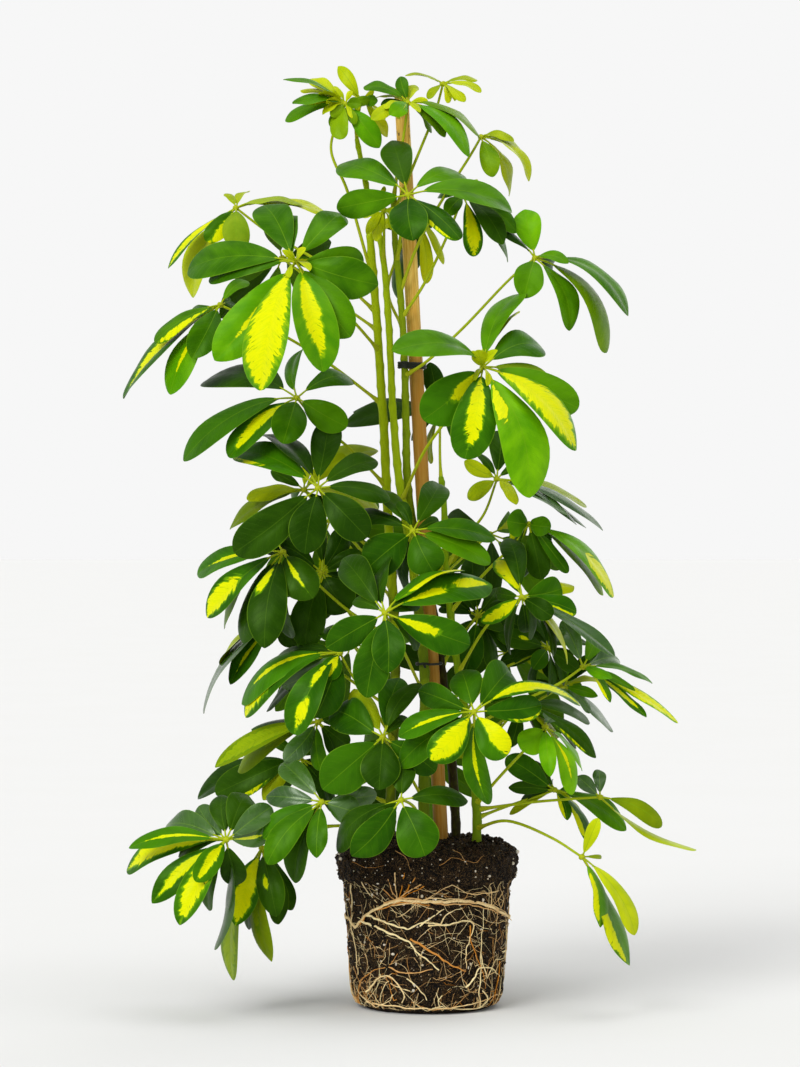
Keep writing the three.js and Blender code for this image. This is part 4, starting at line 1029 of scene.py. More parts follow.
    def make(self) -> None:
        """Builds the net in one piece."""
        draft = MeshDraft()
        draws = random.Random(self.seed)
        noise.seed_set(self.seed)
        girdle = self.girdle_path()
        girdle, radii = self.roughen(girdle, [self.girdle_radius] * len(girdle))
        draft.add_tube(girdle, radii, self.girdle_sides, 0, self.girdle_tone, closed=True)
        for radius, tone, pixels in self.plain_roots:
            waypoints = [self.ball.behind_pixel(u, v, self.lift(radius)) for u, v in pixels]
            path = smooth_path(waypoints, 12 * len(pixels))
            radii = [radius * blend(1, 0.5, i / len(path)) for i in range(len(path))]
            draft.add_tube(*self.roughen(path, radii), self.plain_sides, 0, tone)
        for index in range(self.wanderers + self.hairs):
            fine = index >= self.wanderers
            if fine:
                radius = draws.uniform(*self.hair_radii)
                length = draws.uniform(*self.hair_lengths)
            else:
                radius = blend(*self.wanderer_radii, draws.random() ** 2)
                length = draws.uniform(*self.wanderer_lengths)
            path = self.wander(draws, radius, length)
            radii = [
                radius * blend(1, 0.35, i / len(path)) * (1 + 0.4 * noise.noise(point / 3))
                for i, point in enumerate(path)
            ]
            tone = draws.random() ** 1.8
            draft.add_tube(path, radii, 5 if fine else 7, 0, tone)
        settle(draft.build("root_tangle", [ROOT_SKIN.make()]), ["root_net"])


@dataclass(frozen=True)
class Stake:
    """A turned wooden stake that leans with the plant, with a worn top."""

    foot: Place = (446, 925, 6)
    top: Place = (401, 88, 6)
    radius: float = 7.2
    sides: int = 40
    steps: int = 90
    worn: float = 3.0
    worn_steps: int = 6
    dents: float = 0.16
    flute: float = 0.05
    flutes: int = 7

    def rod(self) -> Rod:
        """Gives the stake's line."""
        foot, top = PICTURE.place(*self.foot), PICTURE.place(*self.top)
        points = tuple(foot.lerp(top, i / self.steps) for i in range(self.steps + 1))
        return Rod(points, tuple(self.radius for _ in points))

    def make(self) -> None:
        """Builds the stake, its top edge rounded over by wear."""
        rod = self.rod()
        length = (rod.points[-1] - rod.points[0]).length
        along = (rod.points[-1] - rod.points[0]) / length
        points, radii = list(rod.points[:-1]), list(rod.radii[:-1])
        for k in range(self.worn_steps + 1):
            turn = math.pi / 2 * k / self.worn_steps
            points.append(rod.points[-1] - along * self.worn * (1 - math.sin(turn)))
            radii.append(self.radius - self.worn * (1 - math.cos(turn)))

        def relief(travelled: float, angle: float) -> float:
            """Gives shallow flutes and dents."""
            place = round_axis(angle, 1, travelled / 60)
            flute = self.flute * math.sin(self.flutes * angle + travelled / 90)
            return self.dents * noise.noise(place * 2.3) + flute - 0.1

        draft = MeshDraft()
        draft.add_tube(points, radii, self.sides, 0, relief=relief)
        settle(draft.build("wooden_stake", [WoodFinish().make()]), ["stake"])


@dataclass(frozen=True)
class Stem:
    """A stem as the photograph shows it: pixels with a depth, thinner towards its top."""

    name: str
    base_radius: float
    top_radius: float
    path: tuple[Place, ...]
    steps: int = 150
    sides: int = 18
    scar_spacing: float = 19.0
    scar_reach: float = 3.2
    scar_rise: float = 0.85
    scar_turn: float = 2.4
    notch: float = 0.35
    knobs: float = 0.3

    def rod(self) -> Rod:
        """Gives the stem's smooth line."""
        points = smooth_path([PICTURE.place(*waypoint) for waypoint in self.path], self.steps)
        radii = [blend(self.base_radius, self.top_radius, i / self.steps) for i in range(len(points))]
        return Rod(tuple(points), tuple(radii))

    def relief(self, travelled: float, angle: float) -> float:
        """Gives the swelling and the notch of leaf scars, half a turn apart, and slight knobs."""
        index = int(travelled / self.scar_spacing)
        near = (travelled - (index + 0.5) * self.scar_spacing) / self.scar_reach
        facing = 0.5 + 0.5 * math.cos(angle - self.scar_turn * index)
        swelling = self.scar_rise * math.exp(-near ** 2) * (0.25 + facing)
        notch = -self.notch * math.exp(-(near * 2.4 - 1.6) ** 2) * facing
        knobs = self.knobs * noise.noise(round_axis(angle, 1, travelled / 22) * 1.3)
        return swelling + notch + knobs - 0.15

    def make(self, skin: Skin) -> None:
        """Builds the stem with a rounded, withered end."""
        rod = self.rod()
        points, radii = list(rod.points), list(rod.radii)
        along = (points[-1] - points[-2]).normalized()
        for k in range(1, 4):
            points.append(rod.points[-1] + along * self.top_radius * 0.8 * math.sin(k * math.pi / 6))
            radii.append(self.top_radius * math.cos(k * math.pi / 6.6))
        draft = MeshDraft()
        draft.add_tube(points, radii, self.sides, 0, len(self.name) / 17, relief=self.relief)
        settle(draft.build(f"{self.name}_bark", [skin.value.make()]), [self.name])


STEMS = (
    Stem(
        "stem_main", 6, 2.5,
        (
            (424, 872, -8), (424, 780, -8), (425, 710, -8), (423, 650, -8), (417, 600, -8), (409, 540, -8),
            (399, 480, -8), (393, 410, -8), (389, 330, -7), (382, 250, -5), (367, 190, 5), (357, 140, 12),
        ),
    ),
    Stem(
        "stem_left", 5.4, 4,
        (
            (390, 868, 10), (391, 790, 10), (395, 700, 9), (394, 620, 7), (391, 560, 6), (387, 500, 5),
            (384, 430, 5), (380, 370, 5), (376, 310, 3), (370, 236, 0),
        ),
    ),
    Stem(
        "stem_slender", 5, 3,
        (
            (457, 872, 16), (454, 790, 20), (445, 700, 22), (433, 610, 23), (418, 548, 21), (408, 490, 6),
            (406, 420, -4), (404, 350, -9), (400, 290, -10), (395, 240, -10), (394, 196, -10),
        ),
    ),
    Stem(
        "stem_right", 4.8, 2.8,
        (
            (477, 870, -24), (476, 800, -20), (469, 735, -12), (458, 670, -3), (449, 600, 3), (445, 545, 4),
            (444, 505, 2), (441, 478, 0),
        ),
    ),
)


@dataclass(frozen=True)
class Tie:
    """A dark wire tie round the stake and one stem, its ends twisted together."""

    name: str
    height: float
    stem: str
    radius: float = 1.2
    slack: float = 1.2
    arc_steps: int = 16
    strands: int = 2
    strand_step: float = 1.8
    sag: float = 0.5
    tail_heading: Place = (0.25, -0.5, -0.83)
    tail_length: float = 5.0
    tail_turns: float = 1.5
    tail_steps: int = 24
    tail_radius: float = 0.62

    def loop(self, stake: Rod, stem: Rod) -> list[Vector]:
        """Lays the loop round both rods.

        Args:
            stake: The stake's line.
            stem: The stem's line.

        Returns:
            The closed middle line, from the stake's side to the stem's.
        """
        ends = [rod.at_height(self.height) for rod in (stake, stem)]
        heading = ends[1][0] - ends[0][0]
        turn = math.atan2(heading.y, heading.x)
        reaches = [radius + self.radius + self.slack for _, radius in ends]
        lean = math.acos((reaches[0] - reaches[1]) / math.hypot(heading.x, heading.y))
        arcs = ((lean, math.tau - lean), (-lean, lean))
        path = []
        for (centre, _), reach, arc in zip(ends, reaches, arcs):
            for i in range(self.arc_steps + 1):
                angle = turn + blend(*arc, i / self.arc_steps)
                x, y = centre.x + reach * math.cos(angle), centre.y + reach * math.sin(angle)
                path.append(Vector((x, y, self.height + self.sag * math.sin(3 * angle))))
        return path

    def make(self, stake: Rod, stem: Rod, wire: bpy.types.Material) -> None:
        """Builds the loop and its twisted ends."""
        draft = MeshDraft()
        loop = self.loop(stake, stem)
        for strand in range(self.strands):
            rise = (strand - (self.strands - 1) / 2) * self.strand_step * self.radius
            wound = [place + UP * rise for place in loop]
            draft.add_tube(wound, [self.radius] * len(loop), 10, 0, 0.3, closed=True)
        start = min(loop, key=lambda place: place.y)
        for phase in (0.0, math.pi):
            tail = []
            for i in range(self.tail_steps + 1):
                share = i / self.tail_steps
                angle = phase + math.tau * self.tail_turns * share
                centre = start + Vector(self.tail_heading) * self.tail_length * share
                coil = Vector((math.cos(angle), 0.3 * math.sin(angle), 0.2 * math.sin(angle)))
                tail.append(centre + coil * 0.8)
            draft.add_tube(tail, [self.tail_radius] * len(tail), 8, 0, 0.6)
        settle(draft.build(f"{self.name}_wire", [wire]), [self.name])


TIES = (
    Tie("tie_upper", 640, "stem_slender", strands=3), Tie("tie_middle", 447, "stem_main"),
    Tie("tie_lower", 342, "stem_main", strands=1),
)


# The fronds. A leaflet in their table is its look, called with its tip's pixel, its width and its depth.

GREEN, DEEP, BRIGHT, LIME, DARK_AND_SHADE, OLIVE, YELLOW, VARIEGATED, UNDERSIDE, BACKLIT, PALE, SHEEN, YOUNG = Look


@dataclass(frozen=True)
class Leaf:
    """A leaflet as the photograph shows it: its tip's pixel, its width as seen and its look.

    depth is the tip's depth behind the hub, where the umbrella's droop doesn't give it. arch is a share of
    the usual arch. breadth is the blade's width as a share of the solid's, 0 where an inner one is shown.
    """

    u: float
    v: float
    seen_width: float
    look: Look
    depth: float | None = None
    arch: float = 1.0
    patch: Patch | None = None
    breadth: float = 1.08


@dataclass(frozen=True)
class Umbrella:
    """Where a frond stands, in the photograph's pixels.

    joins is the picture height at which its petiole leaves the stem, hub the pixel and depth of its hub,
    petiole the bends on the way, and faces the way that the umbrella opens.
    """

    name: str
    stem: str
    joins: float
    hub: Place
    petiole: tuple[Place, ...]
    faces: Place


@dataclass(frozen=True)
class Frond(Umbrella):
    """A frond that the photograph shows. Its inner leaflets are slivers and buds that its solid lacks."""

    leaves: tuple[Leaf, ...]
    inner: tuple[Leaf, ...] = ()


@dataclass(frozen=True)
class BackFrond(Umbrella):
    """A frond that the photograph doesn't show, with even leaflets."""

    length: float
    turn: float
    count: int = 7


# Fronds that the photograph shows, roughly from the top down.
FRONDS = (
    Frond("frond_crown_left", "stem_left", 284, (345, 104, -5),
          ((347, 190, 0), (331, 148, -2)), (-0.3, -0.3, 0.9), (
        GREEN(283, 78, 8, -8, breadth=0.8), YOUNG(300, 88, 7, 14), GREEN(292, 102, 12, -26),
        GREEN(283, 119, 16, 8, breadth=0.95), YOUNG(310, 78, 14, 22, breadth=1.1),
        LIME(341, 139, 14, -28, breadth=1.3), BRIGHT(380, 148, 21, -12), LIME(333, 129, 17, -14),
    ), (
        YOUNG(304, 103, 8, -16), YOUNG(318, 92, 5, -20), YOUNG(322, 113, 6, -22), YOUNG(334, 86, 5, 4),
        YOUNG(352, 118, 7, -16), LIME(370, 99, 11, 6), YOUNG(326, 100, 8, -24), LIME(361, 104, 12, -10),
        LIME(355, 124, 10, -18), LIME(331, 116, 12, -20), YOUNG(352, 90, 6, 6),
    )),
    Frond("frond_crown_middle", "stem_main", 140, (362, 101, 15), ((356, 122, 13),), (-0.1, -0.3, 0.95), (
        YOUNG(337, 65, 17, 8, breadth=0.85), YOUNG(388, 137, 13, 12), GREEN(377, 101, 13, -20, breadth=0.9),
    ), (
        YOUNG(385, 120, 6, -10), YOUNG(356, 118, 6, -14), YOUNG(348, 92, 5, 4), YOUNG(374, 90, 6, -6),
        YOUNG(345, 112, 6, -12), LIME(376, 98, 9, -10), LIME(350, 104, 9, -14),
    )),
    Frond("frond_crown_right", "stem_slender", 196, (408, 103, -14),
          ((398, 168, -12), (403, 140, -14)), (0.1, -0.4, 0.9), (
        GREEN(400, 76, 13, 14), OLIVE(416, 84, 11, 24), BRIGHT(390, 114, 20, -34, breadth=0.85),
        LIME(434, 132, 7, 16, breadth=1.3), LIME(447, 136, 14, -14),
        BRIGHT(472, 156, 17, -22, arch=1.5, breadth=1.15), LIME(482, 137, 11, 8, arch=1.5),
        GREEN(363, 86, 11, 10, arch=1.5), OLIVE(371, 119, 14, -18),
    ), (
        YOUNG(384, 108, 6, -18), YOUNG(420, 112, 7, -20), YOUNG(376, 96, 6, 8), YOUNG(428, 100, 7, 4),
        YOUNG(398, 118, 6, -26), DARK_AND_SHADE(380, 104, 10, 10),
    )),
    Frond("frond_crown_olive", "stem_slender", 212, (443, 84, 34),
          ((405, 186, -17), (420, 150, -5), (436, 110, 21)), (0.2, -0.3, 0.93), (
        OLIVE(405, 75, 6, -8), OLIVE(478, 79, 7, 10), OLIVE(482, 91, 8, -12), OLIVE(465, 101, 8, -24),
        OLIVE(428, 98, 7, -20),
    ), (
        YOUNG(456, 100, 6, -20), YOUNG(448, 102, 6, -24),
    )),
    Frond("frond_right_top", "stem_slender", 292, (481, 137, 8),
          ((420, 240, -16), (447, 192, -8), (470, 156, 2)), (0.5, -0.3, 0.8), (
        OLIVE(515, 140, 9, -12, arch=1.7), OLIVE(527, 158, 9, 12, arch=1.7),
        OLIVE(531, 181, 10, -14, arch=1.7), OLIVE(511, 197, 13, 12, arch=1.7), LIME(493, 177, 19, -22),
    )),
    Frond("frond_right_upper", "stem_slender", 318, (463, 196, -30),
          ((424, 284, -20), (448, 234, -28)), (0.3, -0.5, 0.8), (
        GREEN(518, 232, 18, -6), VARIEGATED(475, 257, 18, -10, patch=Patch.WIDE),
        GREEN(446, 214, 14, -28, breadth=1.2), DARK_AND_SHADE(504, 244, 19, -26), GREEN(510, 262, 11, 12),
        PALE(477, 178, 6, 14),
    )),
    Frond("frond_upper_middle", "stem_slender", 262, (408, 195, -68), ((402, 226, -34),), (0, -0.6, 0.8), (
        DEEP(413, 240, 36), GREEN(337, 161, 27), GREEN(335, 209, 27), DARK_AND_SHADE(391, 137, 30),
        DEEP(461, 238, 22, patch=Patch.THIN_EDGE), GREEN(466, 174, 20, arch=1.4),
        GREEN(513, 211, 24, arch=1.4, breadth=1.15),
    )),
    Frond("frond_upper_back", "stem_slender", 330, (414, 216, 44),
          ((388, 288, 34), (404, 240, 44)), (0.1, -0.3, 0.95), (
        YOUNG(446, 264, 13, -4, breadth=0.7), YOUNG(427, 284, 18, -12, breadth=0.7), DARK_AND_SHADE(394, 300, 15, 2),
        DARK_AND_SHADE(411, 276, 18, 16), YOUNG(368, 236, 12, 10),
    )),
    Frond("frond_young_middle", "stem_main", 262, (384, 210, -24), ((384, 236, -16),), (-0.2, -0.6, 0.8), (
        YOUNG(366, 234, 10, -12), YOUNG(376, 241, 9, -22), OLIVE(360, 216, 8, 4),
    ), (
        YOUNG(392, 230, 5, -10), YOUNG(398, 222, 5, -8), YOUNG(384, 186, 5, -6), YOUNG(372, 196, 5, -8),
        YOUNG(374, 224, 9, -8), OLIVE(396, 210, 6, -8),
    )),
    Frond("frond_right_high", "stem_slender", 376, (535, 258, -35),
          ((426, 362, -22), (462, 329, -28), (512, 277, -34)), (0.3, -0.5, 0.82), (
        GREEN(524, 298, 29, -34), BRIGHT(524, 208, 25, 12, breadth=1.15),
        GREEN(572, 331, 20, -16, arch=1.3), LIME(612, 353, 18, 6, arch=1.7),
        GREEN(631, 315, 14, -4, arch=1.7), GREEN(569, 262, 10, -24, arch=1.5), DARK_AND_SHADE(486, 212, 9, 6),
    )),
    Frond("frond_left_high", "stem_left", 350, (296, 262, -104),
          ((350, 318, -44), (318, 290, -86)), (-0.15, -0.75, 0.63), (
        YELLOW(257, 390, 42), YELLOW(325, 371, 40, patch=Patch.CENTRE),
        BRIGHT(214, 360, 43, patch=Patch.MIDRIB), GREEN(183, 267, 33), GREEN(350, 336, 40, breadth=1.1),
        GREEN(380, 285, 39, arch=1.3), GREEN(262, 201, 35), GREEN(342, 209, 29), GREEN(208, 280, 24, 30),
        GREEN(287, 213, 22, 50),
    ), (
        YOUNG(283, 250, 7, -18), YOUNG(305, 248, 6, -20), YOUNG(310, 270, 5, -24), YOUNG(289, 277, 5, -22),
        GREEN(366, 262, 30, 14),
    )),
    Frond("frond_left_far_top", "stem_left", 312, (236, 208, 44),
          ((322, 264, 34), (268, 232, 42)), (-0.25, -0.3, 0.92), (
        VARIEGATED(165, 266, 15, -8, arch=0.5, patch=Patch.WIDE, breadth=0.75),
        GREEN(206, 241, 18, -24, patch=Patch.RIGHT_HALF, breadth=1.2), YOUNG(190, 298, 21, 8, breadth=1.25),
        UNDERSIDE(240, 251, 26, -30), OLIVE(226, 193, 9, 22), OLIVE(249, 191, 9, 30),
        PALE(303, 203, 10, -10), YOUNG(330, 214, 11, 12),
    )),
    Frond("frond_left_far_middle", "stem_left", 404, (220, 305, 14),
          ((318, 356, 18), (258, 322, 18)), (-0.3, -0.45, 0.84), (
        VARIEGATED(119, 396, 20, 2, arch=0.5, breadth=1.1), GREEN(153, 341, 17, -8, patch=Patch.LOWER_EDGE),
        BRIGHT(167, 393, 23, -24, patch=Patch.MIDRIB), GREEN(192, 358, 29, -36), GREEN(248, 279, 13, 26),
    )),
    Frond("frond_left_middle", "stem_left", 486, (297, 398, -24),
          ((348, 447, -12), (318, 423, -20)), (-0.1, -0.6, 0.8), (
        DEEP(181, 460, 27, arch=1.5, breadth=0.9), VARIEGATED(228, 457, 25, breadth=1.1),
        GREEN(283, 443, 33), GREEN(347, 427, 28), DARK_AND_SHADE(200, 376, 25, breadth=1.35), GREEN(356, 378, 19),
        GREEN(301, 346, 11, breadth=1.3),
    )),
    Frond("frond_left_dark", "stem_left", 566, (318, 488, -81),
          ((356, 536, -44), (330, 508, -70)), (-0.1, -0.8, 0.6), (
        DARK_AND_SHADE(305, 554, 36), DARK_AND_SHADE(232, 553, 38), DARK_AND_SHADE(367, 538, 34),
        VARIEGATED(233, 449, 27, patch=Patch.THIN_EDGE), DARK_AND_SHADE(260, 432, 21), DARK_AND_SHADE(329, 418, 28),
        DARK_AND_SHADE(378, 458, 21), DARK_AND_SHADE(392, 497, 19),
    )),
    Frond("frond_left_dark_back", "stem_left", 590, (304, 490, 49),
          ((352, 540, 36), (320, 508, 47)), (-0.1, -0.4, 0.9), (
        OLIVE(246, 498, 15, -10), BACKLIT(228, 528, 17, 8), YOUNG(312, 458, 11, 16),
        OLIVE(346, 455, 18, -6), OLIVE(378, 446, 22, 18), OLIVE(380, 509, 15, -8),
    ), (
        DARK_AND_SHADE(270, 470, 12, 8), DARK_AND_SHADE(286, 524, 13, 6), DARK_AND_SHADE(336, 520, 12, 4), YOUNG(330, 470, 8, 10),
    )),
    Frond("frond_left_variegated", "stem_left", 640, (283, 552, -60),
          ((345, 608, -36), (305, 572, -55)), (-0.2, -0.7, 0.68), (
        DARK_AND_SHADE(264, 648, 36, patch=Patch.SHORT_EDGE), DARK_AND_SHADE(313, 598, 35, patch=Patch.MIDRIB),
        VARIEGATED(203, 616, 22, patch=Patch.TIP), VARIEGATED(195, 572, 17, patch=Patch.MIDRIB),
        DARK_AND_SHADE(238, 644, 24, 4), LIME(222, 628, 11, 22, breadth=1.7),
    ), (
        DARK_AND_SHADE(290, 640, 15, 18),
    )),
    Frond("frond_right_big", "stem_main", 500, (483, 367, -120),
          ((424, 452, -52), (448, 418, -86), (470, 388, -112)), (0.1, -0.75, 0.65), (
        BRIGHT(533, 497, 44, patch=Patch.SHORT_EDGE), VARIEGATED(465, 459, 40),
        VARIEGATED(423, 420, 43, patch=Patch.BASE), YELLOW(578, 450, 27, arch=1.3, breadth=1.2),
        GREEN(579, 408, 28, arch=1.5, breadth=1.3), GREEN(395, 350, 30, breadth=0), GREEN(518, 290, 27),
        GREEN(544, 345, 20, arch=1.4, breadth=1.5), UNDERSIDE(556, 388, 18, 26), YOUNG(519, 311, 11, 56),
        OLIVE(477, 350, 8, -16, breadth=2),
    ), (
        YOUNG(470, 352, 6, -18), YOUNG(497, 350, 6, -20), YOUNG(488, 385, 5, -24), YOUNG(475, 380, 5, -22),
        GREEN(392, 350, 24, -73, arch=1.6),
    )),
    Frond("frond_behind_stake", "stem_right", 478, (440, 415, 32), ((440, 458, 16),), (0, -0.3, 0.95), (
        DARK_AND_SHADE(344, 424, 23, 4), DARK_AND_SHADE(352, 410, 20, 30), OLIVE(430, 464, 8, 10), DARK_AND_SHADE(458, 442, 9, -8),
        DARK_AND_SHADE(446, 380, 12, 16),
    ), (
        DARK_AND_SHADE(470, 420, 10, 8), DARK_AND_SHADE(462, 398, 10, 12), DARK_AND_SHADE(410, 440, 9, 8), DARK_AND_SHADE(430, 361, 22, 2),
    )),
    Frond("frond_right_back", "stem_right", 566, (497, 479, 12),
          ((466, 537, 6), (484, 514, 8)), (0.3, -0.4, 0.87), (
        SHEEN(604, 530, 13, -6, breadth=0.5), SHEEN(568, 514, 11, -26, breadth=0.7),
        SHEEN(589, 525, 11, 14, breadth=0.6), OLIVE(588, 504, 8, 30), OLIVE(464, 461, 14, -8),
        DARK_AND_SHADE(500, 430, 22, 26), OLIVE(468, 499, 15, -22), OLIVE(517, 504, 12, -30),
    ), (
        DARK_AND_SHADE(520, 462, 10, 14), DARK_AND_SHADE(478, 452, 10, 10), SHEEN(578, 524, 6, -10),
    )),
    Frond("frond_centre_dark", "stem_main", 606, (413, 531, -81), ((417, 566, -47),), (0, -0.75, 0.66), (
        DEEP(434, 573, 35), DEEP(366, 569, 39), DARK_AND_SHADE(441, 481, 27), DARK_AND_SHADE(349, 513, 17), DARK_AND_SHADE(372, 487, 19),
        GREEN(496, 539, 18), GREEN(492, 561, 23),
    ), (
        DARK_AND_SHADE(392, 560, 14, 16), DARK_AND_SHADE(440, 520, 12, 16), DARK_AND_SHADE(398, 500, 12, 14), DARK_AND_SHADE(404, 594, 15, 30),
    )),
    Frond("frond_centre_variegated", "stem_main", 696, (385, 613, -146),
          ((404, 652, -86), (392, 628, -127)), (0, -0.8, 0.6), (
        DEEP(388, 673, 31), VARIEGATED(493, 584, 28, patch=Patch.TWO),
        VARIEGATED(472, 646, 33, patch=Patch.BASE), DEEP(366, 698, 34, -14), DEEP(326, 648, 29),
        DARK_AND_SHADE(341, 557, 31), DARK_AND_SHADE(387, 556, 16), VARIEGATED(464, 566, 13, patch=Patch.LOWER_EDGE),
    ), (
        DARK_AND_SHADE(420, 650, 14, 24), DARK_AND_SHADE(352, 600, 13, 24), DARK_AND_SHADE(424, 590, 12, 24), DARK_AND_SHADE(420, 604, 14, 30),
    )),
    Frond("frond_left_shaded", "stem_left", 664, (322, 573, -14), ((356, 622, -6),), (0, -0.55, 0.83), (
        DARK_AND_SHADE(346, 613, 37, -28), DARK_AND_SHADE(304, 650, 34, -24), DARK_AND_SHADE(346, 528, 22, 8), DARK_AND_SHADE(362, 551, 15, -4),
        DARK_AND_SHADE(264, 540, 18, 6),
    ), (
        DARK_AND_SHADE(290, 560, 13, 8), DARK_AND_SHADE(282, 596, 14, 6), DARK_AND_SHADE(352, 580, 13, 8), DARK_AND_SHADE(326, 620, 14, 12),
        DARK_AND_SHADE(310, 500, 20, 20), DARK_AND_SHADE(372, 606, 18, 16),
    )),
    Frond("frond_left_low_back", "stem_left", 712, (275, 622, 29), ((334, 668, 23),), (-0.4, -0.3, 0.87), (
        SHEEN(200, 713, 9, -8, breadth=1.7), OLIVE(219, 664, 5, 14),
        VARIEGATED(229, 684, 20, -14, patch=Patch.MIDRIB), DARK_AND_SHADE(296, 646, 20, 6),
    ), (
        DARK_AND_SHADE(308, 618, 13, 6),
    )),
    Frond("frond_left_low", "stem_left", 742, (340, 653, -78),
          ((368, 698, -44), (350, 672, -70)), (-0.2, -0.7, 0.68), (
        VARIEGATED(326, 680, 20, -26), DEEP(316, 718, 35), VARIEGATED(291, 735, 29, patch=Patch.TWO),
        SHEEN(281, 688, 23), VARIEGATED(240, 716, 22, patch=Patch.TIP),
        VARIEGATED(236, 702, 22, 18, patch=Patch.MIDRIB), DARK_AND_SHADE(264, 710, 13, 24), DARK_AND_SHADE(272, 657, 10, 30),
    )),
    Frond("frond_left_low_inner", "stem_left", 784, (318, 722, -60),
          ((356, 758, -29), (334, 738, -52)), (-0.2, -0.45, 0.87), (
        BACKLIT(214, 767, 27, -6, patch=Patch.WIDE, breadth=0.68), SHEEN(284, 761, 20, -28),
        GREEN(320, 771, 14, -24), BACKLIT(234, 770, 22, 20, patch=Patch.BASE, breadth=0.8),
        SHEEN(251, 729, 8, 16), DARK_AND_SHADE(349, 746, 18, 14),
    ), (
        DARK_AND_SHADE(342, 704, 12, 10), DARK_AND_SHADE(300, 700, 12, 10), DARK_AND_SHADE(336, 758, 12, 8),
    )),
    Frond("frond_left_bottom_back", "stem_left", 806, (300, 758, 10),
          ((350, 784, 14),), (-0.3, -0.45, 0.84), (
        DARK_AND_SHADE(214, 794, 29, -6, patch=Patch.THIN_EDGE), DARK_AND_SHADE(194, 794, 15, 20), OLIVE(262, 800, 18, -16),
        DARK_AND_SHADE(334, 772, 20, 12),
    ), (
        DARK_AND_SHADE(270, 736, 12, 8), DARK_AND_SHADE(322, 740, 12, 8), DARK_AND_SHADE(316, 788, 12, 4), DARK_AND_SHADE(284, 790, 12, 6),
        DARK_AND_SHADE(334, 812, 18, 10),
    )),
    Frond("frond_low_glossy", "stem_left", 824, (322, 802, -125),
          ((362, 806, -60), (338, 802, -104)), (-0.05, -0.75, 0.66), (
        SHEEN(282, 762, 23), SHEEN(265, 796, 20), GREEN(266, 864, 25), GREEN(316, 858, 20),
        SHEEN(379, 795, 20), SHEEN(362, 814, 27), VARIEGATED(262, 838, 20, patch=Patch.LOWER_EDGE),
        GREEN(376, 822, 20, 18), DARK_AND_SHADE(292, 884, 24, 4),
    ), (
        DARK_AND_SHADE(300, 836, 14, 20),
    )),
    Frond("frond_low_centre", "stem_main", 800, (383, 737, -120),
          ((404, 766, -62), (390, 748, -101)), (-0.05, -0.75, 0.66), (
        DARK_AND_SHADE(379, 790, 37), DEEP(322, 790, 42), DEEP(331, 708, 36), DEEP(400, 677, 27),
        DEEP(436, 772, 27, 0), OLIVE(354, 688, 22, 46),
    ), (
        DARK_AND_SHADE(352, 760, 14, 20), DARK_AND_SHADE(408, 716, 12, 20), DARK_AND_SHADE(420, 680, 20, 24),
    )),
    Frond("frond_low_yellow", "stem_right", 790, (474, 712, -146),
          ((478, 752, -81), (475, 726, -127)), (0.05, -0.75, 0.66), (
        VARIEGATED(505, 758, 40, patch=Patch.RIGHT_HALF, breadth=0.8),
        VARIEGATED(430, 760, 31, patch=Patch.WIDE), GREEN(490, 803, 27, breadth=0),
        VARIEGATED(396, 735, 19, patch=Patch.MIDRIB), VARIEGATED(542, 705, 25, patch=Patch.THIN_EDGE),
        VARIEGATED(583, 703, 13, patch=Patch.WIDE, breadth=0.75), DEEP(416, 690, 24), DEEP(461, 670, 31),
        DEEP(512, 668, 36), GREEN(395, 765, 28, 10),
    ), (
        GREEN(489, 803, 25, -30, arch=-0.8, patch=Patch.MIDRIB),
    )),
    Frond("frond_low_bright", "stem_right", 802, (545, 727, -94),
          ((504, 772, -62), (532, 742, -86)), (0.1, -0.6, 0.8), (
        BRIGHT(550, 776, 21, breadth=0.82), BRIGHT(521, 750, 26, -14),
        BRIGHT(573, 795, 18, -8, patch=Patch.MIDRIB, breadth=1), BRIGHT(583, 771, 6, 18),
    )),
    Frond("frond_right_inner", "stem_right", 764, (520, 705, -12), ((494, 736, -12),), (0.2, -0.4, 0.9), (
        DARK_AND_SHADE(598, 757, 19, -10, patch=Patch.THIN_EDGE, breadth=0.72), DARK_AND_SHADE(578, 748, 15, 12, breadth=0.7),
        DARK_AND_SHADE(593, 720, 10, 26), DARK_AND_SHADE(510, 748, 15, -6),
    ), (
        DARK_AND_SHADE(548, 742, 10, 4), DARK_AND_SHADE(500, 692, 10, 16), DARK_AND_SHADE(540, 752, 9, 8), YOUNG(560, 742, 8, 12),
    )),
    Frond("frond_right_edge", "stem_right", 728, (583, 667, -22),
          ((520, 702, -20), (560, 683, -22)), (0.3, -0.4, 0.87), (
        YELLOW(680, 721, 13, 4, arch=0.3, breadth=0.55), VARIEGATED(648, 716, 13, -14, breadth=0.62),
        GREEN(653, 683, 10, 16, breadth=0.62), GREEN(636, 690, 15, -10, breadth=0.5),
        BRIGHT(612, 677, 14, -34, breadth=0.8),
        GREEN(611, 702, 12, -30, patch=Patch.LOWER_EDGE, breadth=0.7), SHEEN(621, 660, 14, 34),
        SHEEN(562, 619, 18, 14), GREEN(599, 633, 24, 40, breadth=0.8),
    )),
    Frond("frond_right_edge_back", "stem_slender", 758, (563, 686, 44),
          ((498, 724, 39),), (0.2, -0.35, 0.92), (
        GREEN(598, 696, 14, -14, breadth=0.8), SHEEN(591, 713, 9, -6), SHEEN(614, 731, 9, 8),
        DARK_AND_SHADE(528, 684, 14, 12, breadth=0.7), DARK_AND_SHADE(544, 662, 13, -8),
    ), (
        YOUNG(604, 680, 8, 6), DARK_AND_SHADE(594, 654, 14, 4),
    )),
    Frond("frond_right_long", "stem_right", 672, (522, 597, -68), ((490, 622, -39),), (0.1, -0.6, 0.8), (
        SHEEN(616, 655, 21, arch=0.5, breadth=0.62),
